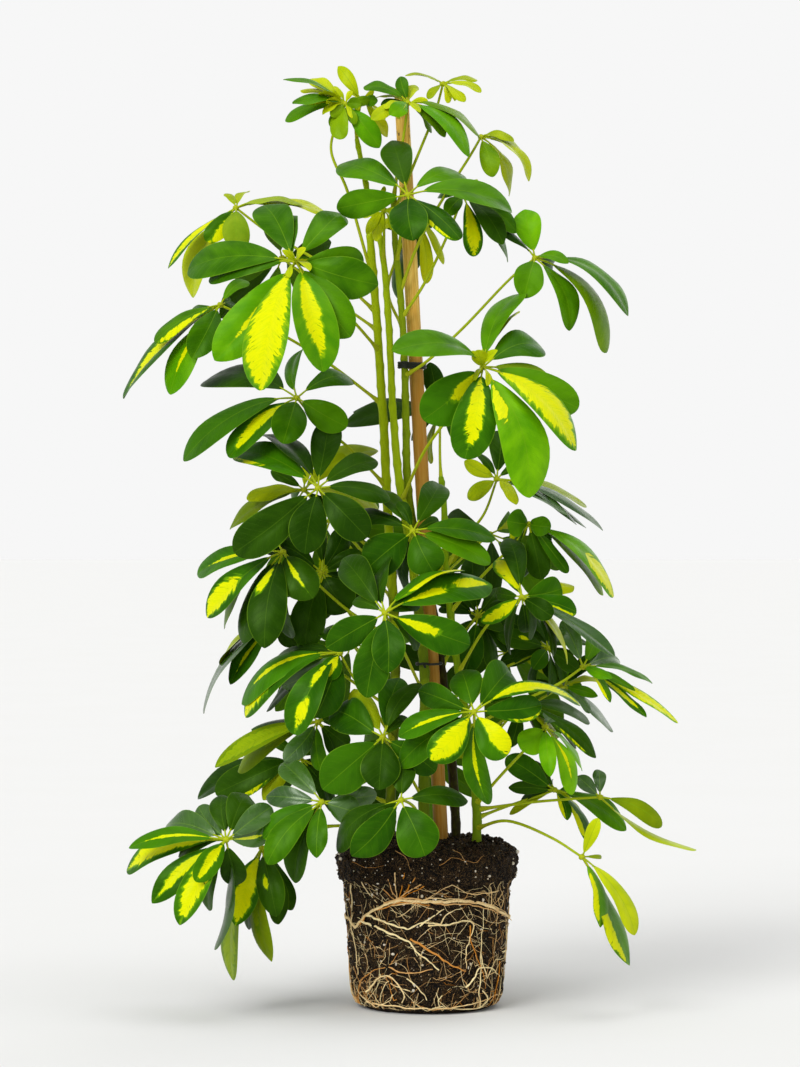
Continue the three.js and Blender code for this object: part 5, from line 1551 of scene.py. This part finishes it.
        VARIEGATED(577, 612, 17, arch=0.7, patch=Patch.LOWER_EDGE),
        VARIEGATED(481, 622, 24, patch=Patch.WIDE, breadth=0.7), DARK_AND_SHADE(507, 534, 28, breadth=0.9),
        GREEN(563, 588, 28, 14), YOUNG(575, 584, 15, 34), YELLOW(496, 559, 19, 40), DARK_AND_SHADE(552, 617, 19, -24),
    ), (
        DARK_AND_SHADE(556, 656, 10, 12), YOUNG(570, 664, 8, 18), DARK_AND_SHADE(508, 655, 11, 16), DARK_AND_SHADE(532, 640, 10, 20),
        DARK_AND_SHADE(526, 634, 16, 26), DARK_AND_SHADE(494, 592, 14, 22), DARK_AND_SHADE(510, 574, 12, 24),
    )),
    Frond("frond_right_upright", "stem_right", 612, (529, 524, -10),
          ((486, 572, -4), (518, 540, -8)), (0.3, -0.45, 0.84), (
        BRIGHT(617, 596, 18, -6, arch=1.3, patch=Patch.TIP), LIME(607, 594, 12, 14),
        GREEN(507, 521, 25, -20, arch=1.4, breadth=1.15), GREEN(551, 527, 22, -24, arch=1.4, breadth=0.95),
        VARIEGATED(549, 547, 18, 6, patch=Patch.THIN_EDGE), DEEP(569, 573, 20, -12, breadth=0.65),
        YELLOW(510, 540, 15, 18), DARK_AND_SHADE(541, 580, 24, -2),
    ), (
        DARK_AND_SHADE(540, 560, 12, 10), DARK_AND_SHADE(522, 580, 12, 6), DARK_AND_SHADE(508, 568, 10, 14), DARK_AND_SHADE(556, 556, 9, 10),
    )),
    Frond("frond_right_low_edge", "stem_right", 808, (600, 797, -30),
          ((534, 802, -22),), (0.3, -0.4, 0.87), (
        YOUNG(697, 848, 11, 8, arch=-0.7, breadth=0.6), BACKLIT(664, 827, 21, -10, arch=1.8, breadth=0.8),
        SHEEN(599, 769, 13, 18), SHEEN(577, 776, 14, 6),
    )),
    Frond("frond_right_low_inner", "stem_right", 816, (555, 790, 6), ((508, 806, 2),), (0.1, -0.5, 0.86), (
        GREEN(627, 830, 19, -12), DEEP(506, 757, 30, -10, breadth=0.85),
        VARIEGATED(568, 820, 11, -20, patch=Patch.LEFT_EDGE),
        VARIEGATED(590, 843, 11, -4, patch=Patch.LEFT_EDGE), OLIVE(584, 828, 5, 14),
        OLIVE(509, 814, 15, 12, breadth=0.6), DARK_AND_SHADE(508, 788, 20, -4, breadth=0.7),
    ), (
        DARK_AND_SHADE(530, 760, 12, 8), YOUNG(572, 800, 7, 8), DARK_AND_SHADE(530, 780, 14, 14), DARK_AND_SHADE(520, 800, 7, 4),
    )),
    Frond("frond_right_drooping", "stem_right", 826, (582, 857, -104),
          ((508, 821, -60), (552, 838, -88)), (0.4, -0.5, 0.77), (
        GREEN(635, 964, 17, 6, arch=0.2, patch=Patch.LEFT_EDGE),
        YELLOW(604, 928, 15, -12, patch=Patch.LEFT_EDGE), YOUNG(637, 935, 18, -10, breadth=0.85),
        YOUNG(598, 818, 18, -10, breadth=0.75), OLIVE(603, 857, 9, 18, breadth=0.5),
    )),
    Frond("frond_bottom_centre", "stem_main", 822, (401, 800, -151),
          ((413, 806, -81), (405, 801, -127)), (-0.05, -0.8, 0.6), (
        DEEP(425, 856, 39), DEEP(352, 857, 31), DARK_AND_SHADE(470, 799, 19), DARK_AND_SHADE(404, 763, 24),
        DARK_AND_SHADE(372, 824, 19, 4), DARK_AND_SHADE(334, 851, 20, 22),
    )),
    Frond("frond_bottom_left", "stem_left", 826, (226, 840, -130),
          ((330, 826, -68), (268, 828, -107)), (-0.2, -0.7, 0.68), (
        VARIEGATED(123, 869, 25, patch=Patch.WIDE, breadth=0.85),
        VARIEGATED(127, 846, 25, 2, patch=Patch.MIDRIB, breadth=0.72),
        VARIEGATED(151, 903, 27, breadth=0.9), VARIEGATED(178, 925, 27, patch=Patch.WIDE),
        SHEEN(163, 823, 25), VARIEGATED(196, 881, 22, -46), DARK_AND_SHADE(222, 792, 22), SHEEN(198, 806, 22),
        DARK_AND_SHADE(248, 793, 26), SHEEN(270, 833, 20, patch=Patch.MIDRIB), DARK_AND_SHADE(238, 886, 24, 22),
        SHEEN(211, 948, 17, 6, arch=-1, breadth=0.65), SHEEN(272, 806, 22, 10),
    ), (
        DARK_AND_SHADE(206, 912, 16, 16), DARK_AND_SHADE(176, 856, 12, 14),
    )),
    Frond("frond_bottom_left_inner", "stem_left", 832, (262, 848, -55),
          ((334, 826, -26),), (-0.1, -0.6, 0.8), (
        VARIEGATED(235, 926, 28, -30, patch=Patch.WIDE), DARK_AND_SHADE(276, 917, 26, -36, patch=Patch.SPOT),
        BACKLIT(231, 981, 13, 4, patch=Patch.RIMMED),
        BACKLIT(270, 963, 23, -14, patch=Patch.SHORT, breadth=0.85), DARK_AND_SHADE(280, 925, 20, 0),
        DARK_AND_SHADE(294, 910, 16, 16), DARK_AND_SHADE(246, 930, 16, 12),
    )),
    Frond("frond_right_dark_back", "stem_slender", 704, (548, 648, 31),
          ((492, 674, 31),), (0.2, -0.4, 0.9), (
        SHEEN(561, 634, 14, 24), DARK_AND_SHADE(500, 615, 19, 8), DEEP(533, 669, 17, -20),
        DARK_AND_SHADE(498, 634, 18, -16, patch=Patch.SPOT), DARK_AND_SHADE(540, 619, 15, 6), DARK_AND_SHADE(579, 671, 17, -6),
    ), (
        DARK_AND_SHADE(528, 692, 10, 4), DARK_AND_SHADE(566, 686, 11, 8), DARK_AND_SHADE(588, 642, 9, 10), DARK_AND_SHADE(510, 662, 11, 2),
        DARK_AND_SHADE(528, 610, 10, 6), DARK_AND_SHADE(574, 656, 9, 2), DARK_AND_SHADE(548, 696, 10, -4), DARK_AND_SHADE(468, 612, 24, 26),
        DARK_AND_SHADE(500, 662, 18, 16),
    )),
    Frond("frond_centre_back", "stem_slender", 668, (478, 616, 49), ((458, 640, 42),), (0, -0.4, 0.92), (
        DARK_AND_SHADE(536, 642, 26, -12), DARK_AND_SHADE(424, 584, 26, 6), DARK_AND_SHADE(472, 556, 24, 14), DEEP(464, 676, 24, -8),
        DARK_AND_SHADE(494, 672, 15, 4),
    ), (
        DARK_AND_SHADE(520, 600, 13, 10), DARK_AND_SHADE(446, 650, 15, 8), DARK_AND_SHADE(508, 652, 12, -4), DARK_AND_SHADE(438, 608, 13, 16),
        DARK_AND_SHADE(500, 586, 14, 20), DARK_AND_SHADE(456, 582, 13, 4), DARK_AND_SHADE(478, 664, 14, 2), DARK_AND_SHADE(556, 652, 20, 6),
    )),
)

# Fronds at the back, whose leaflets follow a rule.
BACK_FRONDS = (
    BackFrond(
        "frond_back_upper", "stem_left", 330, (282, 258, 96), ((338, 302, 50),), (-0.3, 0.55, 0.78),
        length=72, turn=0.2,
    ),
    BackFrond(
        "frond_back_right", "stem_slender", 600, (490, 534, 132), ((446, 574, 72),), (0.25, 0.6, 0.76),
        length=82, turn=0.5,
    ),
    BackFrond(
        "frond_back_left", "stem_left", 600, (330, 520, 140), ((366, 568, 72),), (-0.3, 0.6, 0.74),
        length=86, turn=0.1,
    ),
    BackFrond(
        "frond_back_middle", "stem_left", 712, (352, 644, 150), ((380, 682, 76),), (-0.15, 0.65, 0.74),
        length=88, turn=0.35,
    ),
    BackFrond(
        "frond_back_low_right", "stem_slender", 738, (508, 652, 136), ((478, 694, 74),), (0.25, 0.65, 0.72),
        length=84, turn=0.7,
    ),
    BackFrond(
        "frond_back_low", "stem_slender", 812, (416, 752, 150), ((436, 784, 82),), (-0.1, 0.7, 0.7),
        length=86, turn=0.9,
    ),
)


@dataclass(frozen=True)
class LaidLeaf:
    """A leaflet in place: its arched middle line from hub to tip, the way its blade turns and its width."""

    hub: Vector
    control: Vector
    tip: Vector
    side: Vector
    width: float

    def place(self, share: float) -> Vector:
        """Gives the place at a share of the middle line."""
        return (1 - share) ** 2 * self.hub + 2 * share * (1 - share) * self.control + share ** 2 * self.tip

    def along(self, share: float) -> Vector:
        """Gives the middle line's direction at a share of it."""
        return ((1 - share) * (self.control - self.hub) + share * (self.tip - self.control)).normalized()

    def length(self) -> float:
        """Gives the straight length from hub to tip."""
        return (self.tip - self.hub).length


@dataclass(frozen=True)
class LeafRule:
    """How a leaflet is laid between its hub and its tip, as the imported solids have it."""

    natural_width: float = 0.34
    arch: float = 0.22
    droop: float = 0.22
    deep_share: float = 0.72
    deep_room: float = 8.0
    half_thickness: float = 0.4
    tip_shifts: tuple[float, ...] = (0, -6, 6, -12, 12, -19, 19, -27, 27, -36, 36)
    arch_shares: tuple[float, ...] = (1, 0.45, 1.6)
    length_shares: tuple[float, ...] = (1, 0.86, 0.72)
    petiole_shifts: tuple[float, ...] = (0, -6, 6, -12, 12, -18, 18, -25, 25, -33, 33)
    hub_radius: float = 4.6
    even_width: float = 0.36
    even_droop: float = 0.3
    even_sag: float = 0.15
    even_vary: float = 0.1
    even_shift: float = 0.8
    hidden_turns: int = 9
    hidden_jitter: float = 0.2
    hidden_lengths: tuple[float, float] = (0.6, 0.84)
    hidden_room: float = 0.5
    hidden_depth: float = 0.7

    def lay(
        self, hub: Vector, tip: Vector, faces: Vector, seen_width: float, arch_share: float,
    ) -> LaidLeaf:
        """Lays a leaflet so that it looks as wide as it should and turns its upper face the umbrella's way.

        Args:
            hub: Where the leaflets meet.
            tip: The leaflet's tip.
            faces: The way that the umbrella opens.
            seen_width: Width as the photograph shows it.
            arch_share: Share of the usual arch.

        Returns:
            The leaflet in place.
        """
        reach = tip - hub
        length = reach.length
        along = reach / length
        width = max(seen_width, self.natural_width * length)
        flat = along.cross(Vector((0, 1, 0))).normalized()
        deep = along.cross(flat).normalized()
        turn = math.acos(min(seen_width / width, 1))
        best = None
        for sign in (1, -1):
            side = flat * math.cos(turn) + deep * sign * math.sin(turn)
            agreement = side.cross(along).dot(faces)
            if best is None or abs(agreement) > abs(best[1]) + TINY:
                best = (side, agreement)
        side = -best[0] if best[1] < 0 else best[0]
        control = (hub + tip) / 2 + side.cross(along) * self.arch * arch_share * length
        return LaidLeaf(hub, control, tip, side, width)

    def droop_depth(self, hub: Vector, tip: Vector, faces: Vector) -> float:
        """Gives the depth of a tip that lies on the drooping umbrella."""
        across, up = tip.x - hub.x, tip.z - hub.z
        seen = math.hypot(across, up)
        depth = (-self.droop * seen - faces.x * across - faces.z * up) / faces.y
        limit = self.deep_share * seen + self.deep_room
        return clamp(depth, -limit, limit)

    def table_choices(self, hub_place: Place, hub: Vector, faces: Vector, leaf: Leaf) -> Iterator[LaidLeaf]:
        """Gives the ways that a leaflet of the table may lie."""
        level = PICTURE.place(leaf.u, leaf.v, hub_place[2])
        depth = self.droop_depth(hub, level, faces) if leaf.depth is None else leaf.depth
        for length_share in self.length_shares:
            for shift in self.tip_shifts:
                full = PICTURE.place(leaf.u, leaf.v, hub_place[2] + depth + shift)
                tip = hub.lerp(full, length_share)
                for arch_share in self.arch_shares:
                    yield self.lay(hub, tip, faces, leaf.seen_width, leaf.arch * arch_share)

    def even_choices(self, frond: BackFrond, hub: Vector, faces: Vector, index: int) -> Iterator[LaidLeaf]:
        """Gives the ways that a leaflet of a back frond may lie."""
        first = UP.cross(faces).normalized()
        second = faces.cross(first)
        angle = math.tau * (index + frond.turn) / frond.count
        vary = 1 + self.even_vary * math.sin(5.1 * index + 9 * frond.turn)
        spread = first * math.cos(angle) + second * math.sin(angle)
        for length_share in self.length_shares:
            length = frond.length * length_share * vary
            for shift in self.tip_shifts:
                tip = hub + spread * length + faces * (self.even_shift * shift - self.even_droop * length)
                tip.z -= self.even_sag * length
                yield self.lay(hub, tip, faces, self.even_width * length, 1)

    def hidden(
        self, hub: Vector, faces: Vector, laid: Sequence[LaidLeaf], draws: random.Random,
    ) -> Iterator[LaidLeaf]:
        """Fills an umbrella's gaps with leaflets that point away from the viewer.

        Args:
            hub: Where the leaflets meet.
            faces: The way that the umbrella opens.
            laid: The leaflets that it has.
            draws: The source of their lengths.

        Yields:
            Leaflets that only the sides and the back show.
        """
        first = UP.cross(faces).normalized()
        second = faces.cross(first)
        reaches = [leaf.tip - hub for leaf in laid]
        angles = [math.atan2(reach.dot(second), reach.dot(first)) for reach in reaches]
        middling = sorted(reach.length for reach in reaches)[len(reaches) // 2]
        for k in range(self.hidden_turns):
            jitter = draws.uniform(-self.hidden_jitter, self.hidden_jitter)
            angle = math.tau * (k + jitter) / self.hidden_turns
            length = middling * draws.uniform(*self.hidden_lengths)
            spread = first * math.cos(angle) + second * math.sin(angle)
            room = min(abs((angle - other + math.pi) % math.tau - math.pi) for other in angles)
            if spread.y > self.hidden_depth and room > self.hidden_room:
                tip = hub + spread * length - faces * self.even_droop * length
                tip.z -= self.even_sag * length
                yield self.lay(hub, tip, faces, self.even_width * length, 1)


BACK_LOOKS = (DEEP, GREEN, DARK_AND_SHADE, VARIEGATED)
BACK_BREADTH = 0.84


def back_leaf(number: int, breadth: float = 1.0) -> Leaf:
    """Describes a leaflet that no pixel shows."""
    return BACK_LOOKS[number % len(BACK_LOOKS)](0, 0, 0, breadth=breadth)


@dataclass(frozen=True)
class Blade:
    """The form of a leaflet: a wedge at its base, full beyond its middle and blunt at its tip."""

    stalk_share: float = 0.13
    stations: int = 20
    quick_stations: int = 10
    strips: int = 8
    base_power: float = 0.7
    tip_power: tuple[float, float] = (0.5, 0.8)
    shoulder: float = 2.5
    narrowest: float = 0.8
    thickness: float = 0.55
    midrib_depth: float = 0.8
    vein_lean: float = 0.8
    stalk_radii: tuple[float, float] = (1.15, 0.8)
    stalk_steps: int = 5
    stalk_overlap: float = 1.25
    stalk_sides: int = 7
    folds: tuple[float, float] = (0.08, 0.4)
    cups: tuple[float, float] = (0.16, 0.36)
    wave_sizes: tuple[float, float] = (0.5, 1.5)
    wave_counts: tuple[float, float] = (5, 11)
    wave_phases: tuple[float, float] = (0, 6)
    wave_reach: float = 8.0
    tip_curl: float = 0.042
    curls: tuple[float, float] = (0.2, 1.4)
    most_twist: float = math.radians(13)
    most_bow: float = 0.045

    def fullness(self, share: float, tip_power: float) -> float:
        """Gives the half width at a share of the blade, as a share of the widest."""
        widest = (self.base_power / (self.base_power + tip_power * self.shoulder)) ** (1 / self.shoulder)
        sizes = [at ** self.base_power * (1 - at ** self.shoulder) ** tip_power for at in (share, widest)]
        return sizes[0] / sizes[1]

    def grow(
        self, draft: MeshDraft, leaf: LaidLeaf, patch: Variegation, finish: int, draws: random.Random,
    ) -> None:
        """Adds the blade and its stalk.

        Args:
            draft: The frond's mesh.
            leaf: The leaflet in place.
            patch: Its yellow patches.
            finish: Number of its finish. The stalks' finish is 0.
            draws: The source of its small differences.
        """
        count = self.stations
        half = self.strips // 2
        length = leaf.length() * (1 - self.stalk_share)
        fold, cup = draws.uniform(*self.folds), draws.uniform(*self.cups)
        twist = draws.uniform(-1, 1) * self.most_twist
        bow = draws.uniform(-1, 1) * self.most_bow * length
        kinds = (self.wave_sizes, self.wave_counts, self.wave_phases)
        waves = [[draws.uniform(*kind) for kind in kinds] for _ in range(2)]
        draw = draws.random()
        tip_power = draws.uniform(*self.tip_power)
        curl = self.tip_curl * leaf.length() * draws.uniform(*self.curls)
        rows: list[tuple[list[int], list[int]]] = []
        for station in range(count):
            share = 0.5 - 0.5 * math.cos(math.pi * station / count)
            at = blend(self.stalk_share, 1, share)
            along = leaf.along(at)
            normal = leaf.side.cross(along).normalized()
            turn = twist * share
            side = leaf.side * math.cos(turn) + normal * math.sin(turn)
            out = normal * math.cos(turn) - leaf.side * math.sin(turn)
            centre = leaf.place(at) - out * curl * share ** 3 + side * bow * math.sin(math.pi * share)
            reach = max(leaf.width / 2 * 0.98 * self.fullness(share, tip_power), self.narrowest)
            upper, lower = [], []
            for strip in range(self.strips + 1):
                t = (strip - half) / half
                size, count_along, phase = waves[t > 0]
                swing = math.sin(count_along * share + phase)
                wave = size * t * t * swing * min(reach / self.wave_reach, 1)
                lift = reach * (fold * abs(t) - cup * t * t) + wave
                place = centre + side * reach * t + out * lift
                across = reach * t / CENTIMETRE
                ray = length * share / CENTIMETRE - self.vein_lean * abs(across)
                lay = (ray, across, draw)
                zone = (abs(t), share, patch.inside(share, t, leaf.side))
                number = draft.add_point(place, lay, zone)
                upper.append(number)
                if abs(strip - half) < half:
                    rib = self.midrib_depth * (1 - 0.8 * share) if strip == half else 0.0
                    under = place - out * (self.thickness * math.sqrt(1 - t * t) + rib)
                    lower.append(draft.add_point(under, lay, zone))
                else:
                    draft.rims.add(number)
                    lower.append(number)
            rows.append((upper, lower))
        tip = draft.add_point(
            leaf.tip - leaf.side.cross(leaf.along(1)).normalized() * curl, (length / CENTIMETRE, 0, draw),
            (1, 1, patch.inside(1, 0, leaf.side)),
        )
        draft.rims.add(tip)
        for (upper, lower), (next_upper, next_lower) in zip(rows, rows[1:]):
            for k in range(self.strips):
                draft.add_face((upper[k], upper[k + 1], next_upper[k + 1], next_upper[k]), finish)
                draft.add_face((lower[k + 1], lower[k], next_lower[k], next_lower[k + 1]), finish, True)
        upper, lower = rows[-1]
        for k in range(self.strips):
            draft.add_face((upper[k], upper[k + 1], tip), finish)
            draft.add_face((lower[k + 1], lower[k], tip), finish, True)
        upper, lower = rows[0]
        draft.add_face((*reversed(upper), *lower[1:-1]), finish, True)
        steps = self.stalk_steps
        stalk = [leaf.place(self.stalk_share * self.stalk_overlap * i / steps) for i in range(steps + 1)]
        radii = [blend(*self.stalk_radii, i / steps) for i in range(steps + 1)]
        draft.add_tube(stalk, radii, self.stalk_sides, 0, draw)


@dataclass
class Crown:
    """All fronds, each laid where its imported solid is."""

    stems: dict[str, Rod]
    rule: LeafRule = LeafRule()
    blade: Blade = Blade()
    petiole_base: float = 1.7
    petiole_tip: float = 1.2
    petiole_sides: int = 10
    bend_steps: int = 10
    joint_share: float = 0.8
    flare_length: float = 9.0
    hub_knob: Place = (3.4, 3.4, 3.0)
    tip_room: float = 4.0
    hub_near: float = 0.5
    tip_near: float = 1.0
    near: float = 0.05
    materials: dict[Enum, bpy.types.Material] = field(default_factory=dict)

    def material(self, key: Look | Skin) -> bpy.types.Material:
        """Gives the material of a look or skin, made once."""
        if key not in self.materials:
            self.materials[key] = key.value.make()
        return self.materials[key]

    def corners(self, name: str) -> KDTree:
        """Gathers the corners of a packed frond, to look up the nearest."""
        vertices = FRAME["nodes"][name].data.vertices
        tree = KDTree(len(vertices))
        for vertex in vertices:
            tree.insert(vertex.co / METRES, vertex.index)
        tree.balance()
        return tree

    def petiole(self, frond: Umbrella, corners: KDTree) -> tuple[Place, list[Vector]]:
        """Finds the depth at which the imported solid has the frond's hub.

        Args:
            frond: The frond.
            corners: The corners of its solid.

        Returns:
            The hub's pixel and depth, and the petiole's waypoints.
        """
        stem = self.stems[frond.stem]
        top = stem.points[-1]
        start = PICTURE.place(0, frond.joins, 0).z
        root = top if start > top.z - self.tip_room else stem.at_height(start)[0]
        best = None
        for shift in self.rule.petiole_shifts:
            hub_place = (frond.hub[0], frond.hub[1], frond.hub[2] + shift)
            hub = PICTURE.place(*hub_place)
            knobs = [hub + Vector(axis) * self.rule.hub_radius * sign
                     for axis in ((1, 0, 0), (0, 1, 0), (0, 0, 1)) for sign in (1, -1)]
            score = sum(sorted(corners.find(knob)[2] for knob in knobs)[:3])
            if best is None or score < best[0]:
                bends = [
                    PICTURE.place(u, v, depth + shift * (i + 1) / (len(frond.petiole) + 1))
                    for i, (u, v, depth) in enumerate(frond.petiole)
                ]
                best = (score, hub_place, [root, *bends, hub])
        if best[0] > self.hub_near:
            log.warning("%s: its hub is %.2f mm from its solid's", frond.name, best[0])
        return best[1], best[2]

    def nearest(self, choices: Iterator[LaidLeaf], corners: KDTree) -> LaidLeaf | None:
        """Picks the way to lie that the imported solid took, or none where it has no such leaflet."""
        best = None
        for leaf in choices:
            if corners.find(leaf.tip)[2] > self.tip_near:
                continue
            normal = leaf.side.cross(leaf.along(1)).normalized() * self.rule.half_thickness
            score = corners.find(leaf.tip + normal)[2] + corners.find(leaf.tip - normal)[2]
            if best is None or score < best[0]:
                best = (score, leaf)
        return best[1] if best and best[0] < self.near else None

    def leaves(
        self, index: int, frond: Umbrella, hub_place: Place, hub: Vector, corners: KDTree,
    ) -> list[tuple[Leaf, LaidLeaf]]:
        """Lays a frond's leaflets: its solid's, the slivers between them and those hidden behind.

        Args:
            index: Number of the frond, for its draws.
            frond: The frond.
            hub_place: The hub's pixel and depth.
            hub: The hub.
            corners: The corners of its solid.

        Returns:
            Each leaflet with its place.
        """
        faces = Vector(frond.faces).normalized()
        if isinstance(frond, Frond):
            entries = frond.leaves
            choose = self.rule.table_choices
            ways = [choose(hub_place, hub, faces, entry) for entry in entries]
            inner = [(entry, next(choose(hub_place, hub, faces, entry))) for entry in frond.inner]
        else:
            entries = [back_leaf(number + index, BACK_BREADTH) for number in range(frond.count)]
            ways = [self.rule.even_choices(frond, hub, faces, number) for number in range(frond.count)]
            inner = []
        laid = []
        for entry, choices in zip(entries, ways):
            leaf = self.nearest(choices, corners)
            if leaf is None:
                log.warning("%s: its leaflet at %d, %d has no solid", frond.name, entry.u, entry.v)
            elif entry.breadth:
                laid.append((entry, replace(leaf, width=leaf.width * entry.breadth)))
        laid += inner
        if frond.name not in YOUNG_FRONDS:
            hidden = self.rule.hidden(hub, faces, [leaf for _, leaf in laid], random.Random(index))
            laid += [(back_leaf(number), leaf) for number, leaf in enumerate(hidden)]
        return laid

    def grow(self, index: int, frond: Umbrella) -> None:
        """Builds one frond in one piece.

        Args:
            index: Number of the frond, for its draws.
            frond: The frond.
        """
        corners = self.corners(frond.name)
        hub_place, waypoints = self.petiole(frond, corners)
        hub = waypoints[-1]
        draft = MeshDraft()
        materials = [self.material(Skin.PETIOLE)]
        steps = self.bend_steps * len(waypoints)
        path = smooth_path(waypoints, steps)
        joint = self.joint_share * self.stems[frond.stem].at_height(waypoints[0].z)[1]
        radii = []
        for i, place in enumerate(path):
            flare = math.exp(-((place - path[0]).length / self.flare_length) ** 2)
            radii.append(blend(blend(self.petiole_base, self.petiole_tip, i / steps), joint, flare))
        draft.add_tube(path, radii, self.petiole_sides, 0, (index * 0.37) % 1)
        draft.add_lump(hub, Vector(self.hub_knob), 0, (index * 0.53) % 1, 0.3)
        for number, (entry, leaf) in enumerate(self.leaves(index, frond, hub_place, hub, corners)):
            material = self.material(entry.look)
            if material not in materials:
                materials.append(material)
            patch = entry.patch or USUAL_PATCH.get(entry.look, Patch.NONE)
            draws = random.Random(index * 100 + number)
            self.blade.grow(draft, leaf, patch.value, materials.index(material), draws)
        settle(draft.build(f"{frond.name}_leaves", materials), [frond.name])

    def make(self) -> None:
        """Builds every frond."""
        for index, frond in enumerate((*FRONDS, *BACK_FRONDS)):
            self.grow(index, frond)


YOUNG_FRONDS = (
    "frond_crown_left", "frond_crown_middle", "frond_crown_olive", "frond_crown_right", "frond_right_top",
    "frond_young_middle",
)


@dataclass(frozen=True)
class Plant:
    """The whole plant, from its root ball to its crown."""

    ball: RootBall = RootBall()
    stake: Stake = Stake()

    def make(self) -> None:
        """Builds every sub-assembly in order."""
        self.ball.make()
        RootNet(self.ball).make()
        self.stake.make()
        skins = (Skin.STEM_MAIN, Skin.STEM_LEFT, Skin.STEM_SLENDER, Skin.STEM_RIGHT)
        for stem, skin in zip(STEMS, skins):
            stem.make(skin)
        rods = {stem.name: stem.rod() for stem in STEMS}
        wire = TIE_WIRE.make()
        for tie in TIES:
            tie.make(self.stake.rod(), rods[tie.stem], wire)
        Crown(rods).make()


@dataclass(frozen=True)
class Lamp:
    """A wide soft light: where it shines from, its power in watts to the square metre and its spread."""

    name: str
    source: Place
    power: float
    spread: float

    def make(self) -> None:
        """Hangs the light."""
        light = bpy.data.lights.new(self.name, "SUN")
        light.energy = self.power
        light.angle = math.radians(self.spread)
        holder = bpy.data.objects.new(self.name, light)
        bpy.context.scene.collection.objects.link(holder)
        holder.rotation_euler = Vector(self.source).to_track_quat("Z", "Y").to_euler()


@dataclass(frozen=True)
class Studio:
    """The pale floor, a plain white room round it, the soft lights and the photograph's camera.

    The room is as bright as the floor up to the first of its rises, and dimmer above the second. A rise is
    the sine of the angle above the floor.
    """

    sensor: float = 36.0
    sight: float = 200.0
    floor_reach: float = 60000
    lamps: tuple[Lamp, ...] = (
        Lamp("key_light", (-1.3, -2.0, 1.7), 1.9, 30), Lamp("top_light", (0.1, -0.2, 1.0), 1.0, 50),
        Lamp("back_light", (1.2, 2.0, 1.4), 0.4, 40),
    )
    low_room: float = 0.93
    high_room: float = 0.42
    rises: tuple[float, float] = (0.16, 0.5)

    def floor(self) -> None:
        """Lays the floor."""
        draft = MeshDraft()
        for x, y in ((-1, -1), (1, -1), (1, 1), (-1, 1)):
            draft.add_point(Vector((x, y, 0)) * self.floor_reach)
        draft.add_face((0, 1, 2, 3), 0)
        draft.build("studio_floor", [FloorFinish().make()])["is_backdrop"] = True

    def camera(self) -> None:
        """Sets the camera where the photograph was taken from."""
        lens = bpy.data.cameras.new("photo_camera")
        lens.sensor_width = self.sensor
        lens.lens = PICTURE.focal * self.sensor / PICTURE.picture_height
        lens.clip_end = self.sight
        holder = bpy.data.objects.new("photo_camera", lens)
        bpy.context.scene.collection.objects.link(holder)
        holder.location = Vector((PICTURE.eye_across, -PICTURE.eye_distance, PICTURE.eye_height)) * METRES
        holder.rotation_euler = (math.pi / 2, 0, 0)
        bpy.context.scene.camera = holder

    def room(self) -> None:
        """Sets the room's even light."""
        world = bpy.data.worlds.new("soft_room")
        world.use_nodes = True
        tree = world.node_tree
        heading = tree.nodes.new("ShaderNodeTexCoord")
        rise = tree.nodes.new("ShaderNodeSeparateXYZ")
        dim = tree.nodes.new("ShaderNodeMapRange")
        dim.interpolation_type = "SMOOTHSTEP"
        for name, value in zip(("From Min", "From Max", "To Min", "To Max"),
                               (*self.rises, self.low_room, self.high_room)):
            dim.inputs[name].default_value = value
        room = tree.nodes["Background"]
        room.inputs["Color"].default_value = (1, 1, 1, 1)
        tree.links.new(heading.outputs["Generated"], rise.inputs[0])
        tree.links.new(rise.outputs[2], dim.inputs["Value"])
        tree.links.new(dim.outputs[0], room.inputs["Strength"])
        bpy.context.scene.world = world

    def make(self) -> None:
        """Builds the studio."""
        self.camera()
        self.floor()
        for lamp in self.lamps:
            lamp.make()
        self.room()
        bpy.context.scene.view_settings.view_transform = "Standard"
        log.info("studio: camera, floor and lights")


def main() -> None:
    """Builds the studio and the plant, and measures the box of what renders before and after."""
    logging.basicConfig(level=logging.INFO, format="%(name)s: %(message)s")
    box_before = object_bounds()
    Studio().make()
    Plant().make()
    boxes = [[list(corner) for corner in box] for box in (box_before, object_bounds())]


if __name__ == "__main__":
    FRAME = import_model()
    main()
